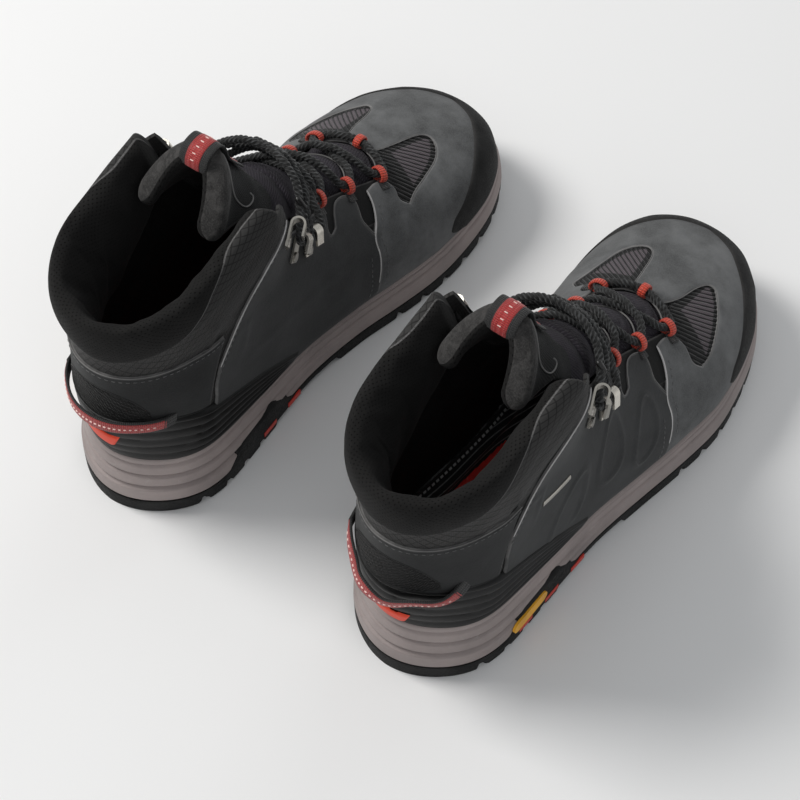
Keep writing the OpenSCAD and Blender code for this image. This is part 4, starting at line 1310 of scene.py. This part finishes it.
def swell(grid, cap):
    """Inflates a closed tube of cloth, given as rows of points in mm, and returns the swollen rows.

    The simulation runs on every second point and is removed. Its movement, capped in mm, is then
    spread over all points.
    """
    coarse = grid[::2, ::2]
    n, m = coarse.shape[:2]
    faces = quads(n, m, closed=True)[:, ::-1].tolist()
    faces += [list(range(m)), [(n - 1) * m + j for j in range(m)][::-1]]
    mesh = bpy.data.meshes.new("padding_cloth")
    mesh.from_pydata((coarse.reshape(-1, 3) / 1000).tolist(), [], faces)
    pad, scene = put_in_scene("padding_cloth", mesh), bpy.context.scene
    held = pad.vertex_groups.new(name="sewn")
    held.add([i * m + j for i in range(n) for j in range(m)
              if i < 2 or i > n - 3 or j < 3 or j > m - 4], 1, "REPLACE")
    cloth = pad.modifiers.new("cloth", "CLOTH")
    cloth.settings.quality, cloth.settings.mass = 6, .2
    cloth.settings.tension_stiffness = cloth.settings.compression_stiffness = 12
    cloth.settings.bending_stiffness = .4
    cloth.settings.use_pressure, cloth.settings.uniform_pressure_force = True, CLOTH_PRESSURE
    cloth.settings.effector_weights.gravity = 0
    cloth.settings.vertex_group_mass = "sewn"
    cloth.point_cache.frame_start, cloth.point_cache.frame_end = 1, CLOTH_FRAMES
    for k in range(1, CLOTH_FRAMES + 1):
        scene.frame_set(k)
    solved = pad.evaluated_get(bpy.context.evaluated_depsgraph_get()).to_mesh()
    flat = np.zeros(n * m * 3)
    solved.vertices.foreach_get("co", flat)
    move = flat.reshape(n, m, 3) * 1000 - coarse
    size = np.linalg.norm(move, axis=-1, keepdims=True)
    move = move * np.minimum(1, cap / np.maximum(size, 1e-9))
    scene.frame_set(1)
    bpy.data.objects.remove(pad)
    bpy.data.meshes.remove(mesh)
    rows = np.stack([np.interp(np.arange(grid.shape[0]), np.arange(n) * 2, move[:, j, k])
                     for j in range(m) for k in range(3)], -1).reshape(grid.shape[0], m, 3)
    wide = np.zeros_like(grid)
    wide[:, ::2] = rows
    wide[:, 1::2] = (rows + np.roll(rows, -1, 1)) / 2
    return grid + wide


def build_collar():
    n, m = 260, 56
    section = closed_spline(PAD, m)
    middle = section.mean(0)
    v = COLLAR_START + COLLAR_SPAN * np.linspace(0, 1, n)
    shrink = .12 + .88 * rounded(np.minimum(v - COLLAR_START, COLLAR_END - v), .035)
    uv = middle + (section - middle) * shrink[:, None, None] * np.array([1, .93])
    along, (up, depth) = pairs(v, section[:, 0])[..., 0], np.repeat(section.T[:, None], n, 1)
    folds = noise_at(np.stack([along * 16 + up * 1.1, up * .5, 0 * up + 3], -1))
    wrinkles = (1.1 * noise_at(np.stack([along * 9, up * .9, depth * .16], -1))
                - 1.0 * np.maximum(0, folds) ** 1.3)
    depth = uv[..., 1] + wrinkles * shrink[:, None] * np.where(section[None, :, 1] < -2, 1.0, .35)
    verts = swell(foot(uv[..., 0], along, depth), 2.2)
    faces, ends = tube_faces(n, m)
    girth = travelled(foot(section[:, 0], 1.0, section[:, 1]))
    chart = pairs(v * 150, girth).reshape(-1, 2)
    chart = np.concatenate([chart, chart[:1], chart[-1:]])
    # The outer cloth climbs from the shell line at the heel to the crest near the throat.
    climb = ease(.18, .62, np.abs(v - 1))
    border = girth[7] + (girth[28] - girth[7]) * climb
    tint = np.concatenate([(10 + girth[None] - border[:, None]).ravel(), [10, 10]])
    shape = Shape().add(with_middles(verts), [faces[:, ::-1], ends[:, ::-1]], chart, tint)
    publish(shape, "collar_padding", "collar", replaces="collar_pad", angle=80)


def build_lining():
    u, v = round_foot(np.linspace(1.0, 13.4, 130), 120, .02)
    soft = noise_at(np.stack([u * 1.3, v * 9, 0 * u + 7], -1))
    deep = -5.4 - 2.2 * ease(11.6, 13.2, u)
    shape = skin(Shape(), u, v, -3.9, deep + .8 * soft)
    publish(shape, "lining_cloth", "lining", replaces="lining", angle=80)


def build_footbed():
    """Thin sheet with raised edges; a red crescent shows on the outer side of the heel."""
    u, v = np.meshgrid(np.linspace(2.46, 10.32, 110), np.linspace(.74, 1.31, 96), indexing="ij")
    far = np.where(v > 1, (v - 1) / .31, (1 - v) / .26)
    curl = ease(.70, 1.0, far)
    top = -14.0 + 7.4 * curl
    pos = foot(u, v, top)
    run_v = np.cumsum(np.linalg.norm(np.diff(pos, axis=1, prepend=pos[:, :1]), axis=-1), 1)
    run_u = np.cumsum(np.linalg.norm(np.diff(pos, axis=0, prepend=pos[:1]), axis=-1), 0)
    distance = np.minimum(np.minimum(run_v, run_v[:, -1:] - run_v),
                          np.minimum(run_u, run_u[-1:] - run_u)).ravel()
    above = foot(u, v, top + 3.2 - 1.1 * curl * ease(8, 9.6, u))
    verts = np.concatenate([pos.reshape(-1, 3), above.reshape(-1, 3)])
    charts = np.concatenate([np.stack([run_u, run_v], -1).reshape(-1, 2)] * 2)
    edges = np.concatenate([distance, distance * 0 + FAR_IN])
    face, top_face, wall = slab(*u.shape)
    face = face[:, ::-1]
    fu, fv = u.ravel()[face].mean(1), v.ravel()[face].mean(1)
    red = (fv < 1.155 - .028 * (fu - 8.9) ** 2) & (fu > 6.4)
    shape = Shape().add(verts, [face[~red], top_face[:, ::-1], wall[:, ::-1]], charts, edges)
    shape.add(verts, [face[red]], charts, edges, 1)
    publish(shape, "footbed", "footbed foam_red", body="insole_body", replaces="insole",
            angle=70)


# ---------------------------------------------------------------- tongue

def build_tongue_lower():
    """Stretch panels between the laces: puffed pads with concentric ridges."""
    us, share = np.linspace(5.2, 11.1, 260), np.linspace(-1, 1, 90)
    v = np.interp(us, [5.2, 5.7, 8.5, 11.1], [.10, .188, .188, .19])[:, None] * share[None]
    u = np.repeat(us[:, None], len(share), 1)
    top = np.full_like(u, -2.0)
    for centre, reach in ((6.05, .52), (7.15, .56), (8.3, .60), (9.5, .62)):
        bow = .35 * (1 - share ** 2)[None]
        r = np.hypot((u - centre + bow * .6) / reach, share[None] / .93)
        pad = np.clip(1 - r ** 2, 0, 1) ** .5
        ring = np.abs(np.sin(np.pi * 3.2 * (1 - np.clip(r, 0, 1)) + .3)) ** .8
        top = np.maximum(top, -2.0 + 3.6 * pad + .55 * ring * (r < 1) * ease(0, .3, pad))
    top = top - 5.2 * ease(10.25, 11.1, u)
    shape = skin(Shape(), u, v, top, np.minimum(-4.6, top - 1.6))
    publish(shape, "tongue_stretch", "stretch", replaces="tongue_lower", angle=80)
    edging = Shape()
    for centre, reach in ((6.05, .52), (7.15, .56), (8.3, .60)):
        t = np.linspace(-1.25, 1.25, 15)
        line = [(centre - reach * math.cos(k) * 1.02 - .35 * (1 - math.sin(k) ** 2) * .6,
                 .183 * math.sin(k)) for k in t]
        piping(line, .1, .42, edging)
    publish(edging, "tongue_stretch_edging", "piping_soft")


TONGUE_FRONT = np.array([[127, 137], [121.5, 146.5], [115, 158], [107, 169], [100.5, 179], [98, 187.2]],
                        float)
ARC, CUFF_R = math.radians(78), 25.05   # half angle and radius of the tongue's curve across
CUFF_THICK, CUFF_HALF_WIDTH = 8.2, 34


def cuff_at(s, a, inset):
    """Point of the padded tongue: s up the front, a across, inset towards the leg."""
    s, a, inset = np.broadcast_arrays(*(np.asarray(k, float) for k in (s, a, inset)))
    p = spline(TONGUE_FRONT, s * 5)
    r = CUFF_R - inset
    drop = 27 * np.abs(a) ** 2 * ease(.2, 1, s)
    return np.stack([p[..., 0] - CUFF_R + r * np.cos(ARC * a) - drop * .35, r * np.sin(ARC * a),
                     p[..., 1] - drop], -1)


def build_tongue_cuff():
    """Closed padded form: front face, rolled top and wing edges, inner face."""
    m = 150
    a = np.linspace(-1, 1, m)
    front = np.linspace(0, 1, 60)
    half = CUFF_THICK / 2
    # Each row: place s up the front, inset, lift, and a number that tells the faces' zones apart.
    rows = [(s, 0, 0, s) for s in front]
    rows += [(1, half * (1 - math.cos(t)), math.sin(t), 1 + t)
             for t in np.linspace(0, math.pi, 30)[1:-1]]
    rows += [(s, CUFF_THICK, 0, 5 + (1 - s)) for s in front[::-1]]
    edge = rounded((1 - np.abs(a)) * CUFF_HALF_WIDTH, 4.2)
    grid = []
    for s, inset, lift, _ in rows:
        inset = half + (inset - half) * edge
        bulge = np.where(inset > half, 3.4, -1.6) * np.exp(-((s - .93) / .15) ** 2) * edge
        p = cuff_at(s, a, inset + bulge)
        p[:, 2] += lift * (3.4 * edge)
        grid.append(p)
    grid = np.array(grid)
    grid += np.array([1, 0, .5]) * .55 * noise_at(grid * .07)[..., None]
    n, kinds = len(rows), np.array([row[3] for row in rows])
    faces = quads(n, m)
    j = np.arange(m - 1)
    closing = [np.stack([j, j + 1, (n - 1) * m + j + 1, (n - 1) * m + j], -1)]
    i = np.arange(n // 2 - 1)
    for col, way in ((0, 1), (m - 1, -1)):
        side = [i * m + col, (n - 1 - i) * m + col, (n - 2 - i) * m + col, (i + 1) * m + col]
        closing.append(np.stack(side, -1)[:, ::way])
    kind, across = kinds[faces[:, 0] // m], np.abs(a)[faces[:, 0] % m]
    rolled = (kind < 3.1) & ((kind > .84) | ((across > .90) & (kind > .4)))
    inner = (kind >= 3.1) & ~rolled
    chart = pairs(travelled(grid[:, m // 2]), a * CUFF_HALF_WIDTH)
    groups = [faces[~(rolled | inner)][:, ::-1], np.concatenate(closing),
              faces[rolled][:, ::-1], faces[inner][:, ::-1]]
    shape = Shape().add(grid, groups, chart, None, (0, 0, 1, 2))
    publish(shape, "tongue_padding", "tongue_front suede collar", body="tongue_body",
            replaces="tongue_cuff", angle=80,
            hinge=np.array([[122, 0, 141.0], [122, 0, 156.0]]))


def build_tongue_piping():
    """Light cord that runs down each side of the tongue and hooks forward."""
    shape = Shape()
    line = spline(np.array([[.98, .2], [.86, .44], [.74, .60], [.60, .72], [.49, .78], [.43, .74],
                            [.42, .66], [.47, .60]]), np.linspace(0, 7, 60))
    for sign in (1, -1):
        lift = -.3 - 1.6 * np.exp(-((line[:, 0] - .93) / .15) ** 2)
        tube(cuff_at(line[:, 0], sign * line[:, 1], lift), .42, 8, 0, shape)
    publish(shape, "tongue_piping", "piping_soft", body="tongue_body")


def build_tongue_tab():
    """Tape folded over the tongue's top edge: red centre, black sides."""
    top = cuff_at(1, 0, 4.1)
    front = [cuff_at(s, 0, -1.1 - k) for s, k in ((.5, 0), (.62, .2), (.74, .7), (.85, 1.3),
                                                  (.94, 1.6))]
    path = smooth_path([*front, top + (5.4, 0, 2.6), top + (3.0, 0, 5.0), top + (-1.5, 0, 5.6),
                        top + (-5.6, 0, 4.2), top + (-8.4, 0, .4), top + (-8.9, 0, -4)], .8)
    n = len(path)
    way = unit(np.gradient(path, axis=0))
    side = repeated((0, 1, 0), n)
    out = np.cross(side, way)
    shape = Shape()
    sweep(path, side, out, circle(28, 8.2, .7, 5), mat=1, shape=shape)
    sweep(path + out * .45, side, out, circle(28, 4.3, .55, 5), mat=0, shape=shape)
    for i in range(5, n - 5, 4):
        p = path[i:i + 2] + out[i:i + 2] * 1.0
        tube(np.stack([p[0] - side[i] * .9, p[0], p[0] + side[i] * .9]), .3, 6, 2, shape, pinch=False)
    publish(shape, "tongue_tape", "tape_red tape_black tape_dots", body="tongue_body",
            replaces="tongue_tab", angle=50)


# ---------------------------------------------------------------- lacing

LOOPS = (5.75, 6.88, 8.2)
LOOP_V, LOOP_D = .168, 3.2
HOOKS = ((9.15, .285), (10.0, .285), (12.1, .275))
LACE_R = 2.0


def build_loops():
    """Short red bands that turn the lace, each with a black tail sewn under the tab."""
    shape = Shape()
    t = np.linspace(0, 2 * np.pi, 28, endpoint=False)
    for sign in (1, -1):
        for u in LOOPS:
            c = foot(u, sign * LOOP_V, LOOP_D)
            n = normal(u, sign * LOOP_V)
            along = up_boot(u, sign * LOOP_V)
            away = np.cross(n, along)
            if away @ (foot(u, sign * (LOOP_V + .05), 3) - c) < 0:
                away = -away
            path = c + away * (np.cos(t) * 4.2 + .9)[:, None] + n * (np.sin(t) * 3.0)[:, None]
            radial = unit(path - c - away * .9)
            sweep(path, repeated(along, len(t)), radial, circle(14, 2.3, .85, 3), closed=True,
                  shape=shape)
            tail = np.stack([c + away * (3.6 + k) + n * (-1.6 + .10 * k) for k in (0, 2, 4, 6)])
            across = repeated(along, 4)
            sweep(tail, across, np.cross(unit(np.gradient(tail, axis=0)), across),
                  circle(14, 3.0, .6, 4), mat=1, shape=shape)
    c = foot(5.3, 0, 4.2)
    way = np.array([0, 1.0, 0])
    n = normal(5.3, 0)
    ahead = np.cross(way, n)
    path = c + ahead * (np.cos(t) * 3.6)[:, None] + n * (np.sin(t) * 3.0)[:, None]
    sweep(path, repeated(way, len(t)), unit(path - c), circle(14, 2.2, .85, 3), closed=True,
          shape=shape)
    publish(shape, "lace_bands", "loop tape_black", replaces="lace_loops", angle=60)


RIB_PITCH, RIB_DEPTH, LACE_KINK = 2.6, .16, .35


def ribbed(path, radius, seed):
    """A slightly wandering path and its radii, for a crinkled round lace."""
    run = travelled(path)
    beat = np.abs(np.sin(np.pi * run / RIB_PITCH))
    at = np.array([[(s * .16, seed, k * 5.3) for k in range(3)] for s in run])
    return (path + noise_at(at) * LACE_KINK,
            radius * (1 - RIB_DEPTH + RIB_DEPTH * 1.6 * beat ** .8))


def lace_route(sign):
    """Centre line of one half of the lace, from the vamp's tip up to the second hooks."""
    p = [foot(5.3, 0, 4.6), foot(5.42, sign * .08, 4.5)]
    over, under = 6.6, 2.4          # offsets where strands cross

    def through(u, s):
        return [foot(u - .20, s * (LOOP_V - .012), LOOP_D + .1), foot(u, s * (LOOP_V + .004), LOOP_D),
                foot(u + .22, s * (LOOP_V - .012), LOOP_D + .1)]

    def cross(u0, u1, s, d):
        return [foot(u0 * .72 + u1 * .28, s * .10, (d + LOOP_D) / 2 + .7), foot((u0 + u1) / 2, 0, d),
                foot(u0 * .28 + u1 * .72, -s * .10, (d + LOOP_D) / 2 + .7)]

    s = sign
    low, high = (under, over) if sign > 0 else (over, under)
    p += through(LOOPS[0], s) + cross(LOOPS[0] + .2, LOOPS[1] - .2, s, low) + through(LOOPS[1], -s)
    p += cross(LOOPS[1] + .2, LOOPS[2] - .2, -s, high) + through(LOOPS[2], s)
    p += cross(LOOPS[2] + .2, HOOKS[0][0] - .5, s, low)
    for k, (u, v) in enumerate(HOOKS[:2]):
        side = -s if k % 2 == 0 else s
        ez = normal(u, side * v)
        ex = up_boot(u, side * v)
        ey = side * np.cross(ez, ex)
        p += [foot(u, side * v, OVERLAY_OUT + .6) + a * ex + b * ey + c * ez
              for a, b, c in ((-8.5, 8.5, 4.2), (-4.2, 6.0, 3.9), (4.2, 6.0, 3.9), (8.5, 8.5, 4.2))]
        if k == 0:
            p += [foot(u + .50, side * .09, 8.5), foot(u + .46, 0, 8.6 if sign > 0 else 11.4),
                  foot(u + .46, -side * .09, 8.5)]
    return np.array(p)


def build_lace():
    right_half, left_half = lace_route(1), lace_route(-1)
    path = smooth_path(np.concatenate([left_half[:0:-1], right_half]), .42)
    path, r = ribbed(path, LACE_R, 2.0)
    shape = Shape()
    tube(path, r, 14, shape=shape)
    for sign in (1, -1):
        start = (right_half if sign > 0 else left_half)[-1]
        y = math.copysign(1, start[1])
        bundle = [start, foot(10.5, y * .14, 8), foot(10.6, y * .05, 10), foot(10.25, -y * .04, 11.5),
                  foot(9.85, y * .03, 11), foot(9.9, y * .13, 9.6), foot(10.3, y * .19, 8.6)]
        loop, rr = ribbed(smooth_path(bundle, .42), LACE_R, 4.0 + sign)
        tube(loop, rr, 14, shape=shape)
    publish(shape, "lace_cord", "lace", replaces="lace", angle=80)
    tips = Shape()
    for sign in (1, -1):
        a = foot(10.3, sign * .19, 8.6)
        b = foot(10.85, sign * .16, 6.6)
        line = np.linspace(0, 1, 12)[:, None] * (b - a) + a
        tube(line, np.concatenate([[1.9], np.full(10, 1.6), [1.1]]), 14, shape=tips)
    publish(tips, "lace_sheaths", "lace_tip", replaces="lace_tips", angle=50)


# ---------------------------------------------------------------- heel loop, emblem, small parts

def loop_line(sag):
    """Centre line of the heel loop; sag 0 is taut, 1 hangs lower and closer."""
    s = np.linspace(-1, 1, 90)
    bow = 1 - s ** 2
    u = 11.82 + (.66 - .34 * sag) * bow + sag * .06 * np.sin(s * 9)
    v = 1 + (.235 + .01 * sag) * s
    d = OVERLAY_IN + 3.6 + (4.9 - .2 * sag) * bow + sag * .7 * np.sin(s * 7 + .6)
    return foot(u, v, d), u, v


def build_heel_loops():
    for side, sag in (("left", 0.0), ("right", 1.0)):
        path, u, v = loop_line(sag)
        n = len(path)
        out = normal(u, v)
        way = unit(np.gradient(path, axis=0))
        lean = .35 * sag * np.sin(np.linspace(-1, 1, n) * 3)
        across = unit(unit(np.cross(way, out)) + out * lean[:, None])
        face = np.cross(across, way)
        shape = Shape()
        sweep(path, across, face, circle(24, 4.2, .85, 4), mat=1, shape=shape)
        sweep(path + face * .45, across, face, circle(24, 3.3, .7, 4), mat=0, shape=shape)
        for i in range(5, n - 6, 3):
            p = path[i] + face[i] * 1.15
            q = np.stack([p - way[i] * .7, p, p + way[i] * .7])
            tube(q, .55, 6, 2, shape)
        for i, sign in ((0, -1), (n - 1, 1)):
            tail = np.stack([path[i] + way[i] * sign * k - out[i] * (.25 * k)
                             for k in (-1.0, 1.5, 4, 6)])
            sweep(tail, repeated(across[i], 4), repeated(face[i], 4), circle(24, 4.4, 1.0, 4), mat=1,
                  shape=shape)
        publish(shape, "heel_tape", "tape_red tape_black tape_dots", body="heel_loop_body",
                replaces="heel_loop", sides=(side,), angle=50)


def build_emblem():
    """Plain slanted lozenge on the cradle's back: generic, no mark."""
    plan = np.array([(10.93, .935), (11.27, 1.08), (11.57, 1.05), (11.23, .905), (10.93, .935)])
    other = (plan * np.array([1, -1]) + np.array([.40, 1.99]))[::-1]
    for side, ring in (("right", plan), ("left", other)):
        shape = sheet(outline(*[[ring[i], ring[i + 1]] for i in range(4)]), 4.4, 3.0, 1.2, .7)
        publish(shape, "heel_lozenge", "emblem", replaces="heel_emblem",
                sides=(side,))


def build_side_tag():
    """Small metal-look tag on the outer ankle."""
    line, uv = surface_path([(10.65, .485), (10.2, .452), (9.8, .425)], 2.6, 1.5)
    out = normal(uv[:, 0], uv[:, 1])
    way = unit(np.gradient(line, axis=0))
    shape = sweep(line, unit(np.cross(way, out)), out, circle(16, 1.5, .45, 4))
    publish(shape, "side_tag", "hook")


def finish_cad_nodes():
    """Materials for the CAD parts that keep their own mesh."""
    looks = {"outsole_inserts": "accent", "sole_badge": "badge", "shank": "steel",
             "insole_board": "board", "toe_puff": "stiffener", "heel_counter": "stiffener",
             "lace_hooks": "hook", "hook_rivets": "rivet"}
    for side in SIDES:
        for node, material in looks.items():
            o = frame["nodes"][side + "_" + node]
            o.data.materials.clear()
            o.data.materials.append(M[material])
            if node in ("lace_hooks", "hook_rivets", "sole_badge"):
                bevel = o.modifiers.new("soft_edges", "BEVEL")
                bevel.width, bevel.segments, bevel.limit_method = .00025, 3, "ANGLE"
                bevel.angle_limit = math.radians(35)


# ---------------------------------------------------------------- studio

FLOOR_HALF = 6.0
SKY, SKY_STRENGTH = (.96, .98, 1.0, 1), .38
LIGHTS = (("key", (1.25, .55, 1.7), .8, 32, (1, .985, .96)),        # place, width, watts, colour
          ("fill", (-.9, .9, 1.2), 1.4, 3, (.96, .98, 1)),
          ("rim", (.2, -1.6, 1.1), 1.2, 4, (1, 1, 1)))
LIGHT_AIM = Vector((0, 0, .06))
CAMERA_AT, CAMERA_AIM = Vector((-.4932, .6466, 1.1253)), Vector((-.0224, .045, .060))
CAMERA_LENS, CAMERA_SENSOR = 117.2, 36


def build_studio():
    size = FLOOR_HALF
    mesh = bpy.data.meshes.new("floor")
    corners = [(-size, -size, 0), (size, -size, 0), (size, size, 0), (-size, size, 0)]
    mesh.from_pydata(corners, [], [(0, 1, 2, 3)])
    f = Finish("floor_white")
    mesh.materials.append(f.done(f.mix(f.noise(3), grey(.86), grey(.88)), .95, specular=.1))
    put_in_scene("floor", mesh)
    scene = bpy.context.scene
    scene.world = bpy.data.worlds.new("studio")
    scene.world.use_nodes = True
    sky = scene.world.node_tree.nodes["Background"].inputs
    sky[0].default_value, sky[1].default_value = SKY, SKY_STRENGTH
    scene.view_settings.view_transform = "Standard"
    for name, where, width, watts, color in LIGHTS:
        light = bpy.data.lights.new(name, "AREA")
        light.energy, light.size, light.color = watts, width, color
        put_in_scene(name, light, where, LIGHT_AIM)


def build_camera():
    data = bpy.data.cameras.new("camera")
    data.lens, data.sensor_width, data.clip_end = CAMERA_LENS, CAMERA_SENSOR, 20
    bpy.context.scene.camera = put_in_scene("camera", data, CAMERA_AT, CAMERA_AIM)


for build in (
        build_midsole, build_outsole, build_sole_wraps, build_shell, build_vamp, build_rand,
        build_vents, build_quarters, build_eyestay, build_cradle, build_heel_overlay, build_collar,
        build_lining, build_footbed, build_tongue_lower, build_tongue_cuff, build_tongue_piping,
        build_tongue_tab, build_loops, build_lace, build_heel_loops, build_emblem, build_side_tag,
        finish_cad_nodes, build_studio, build_camera):
    build()
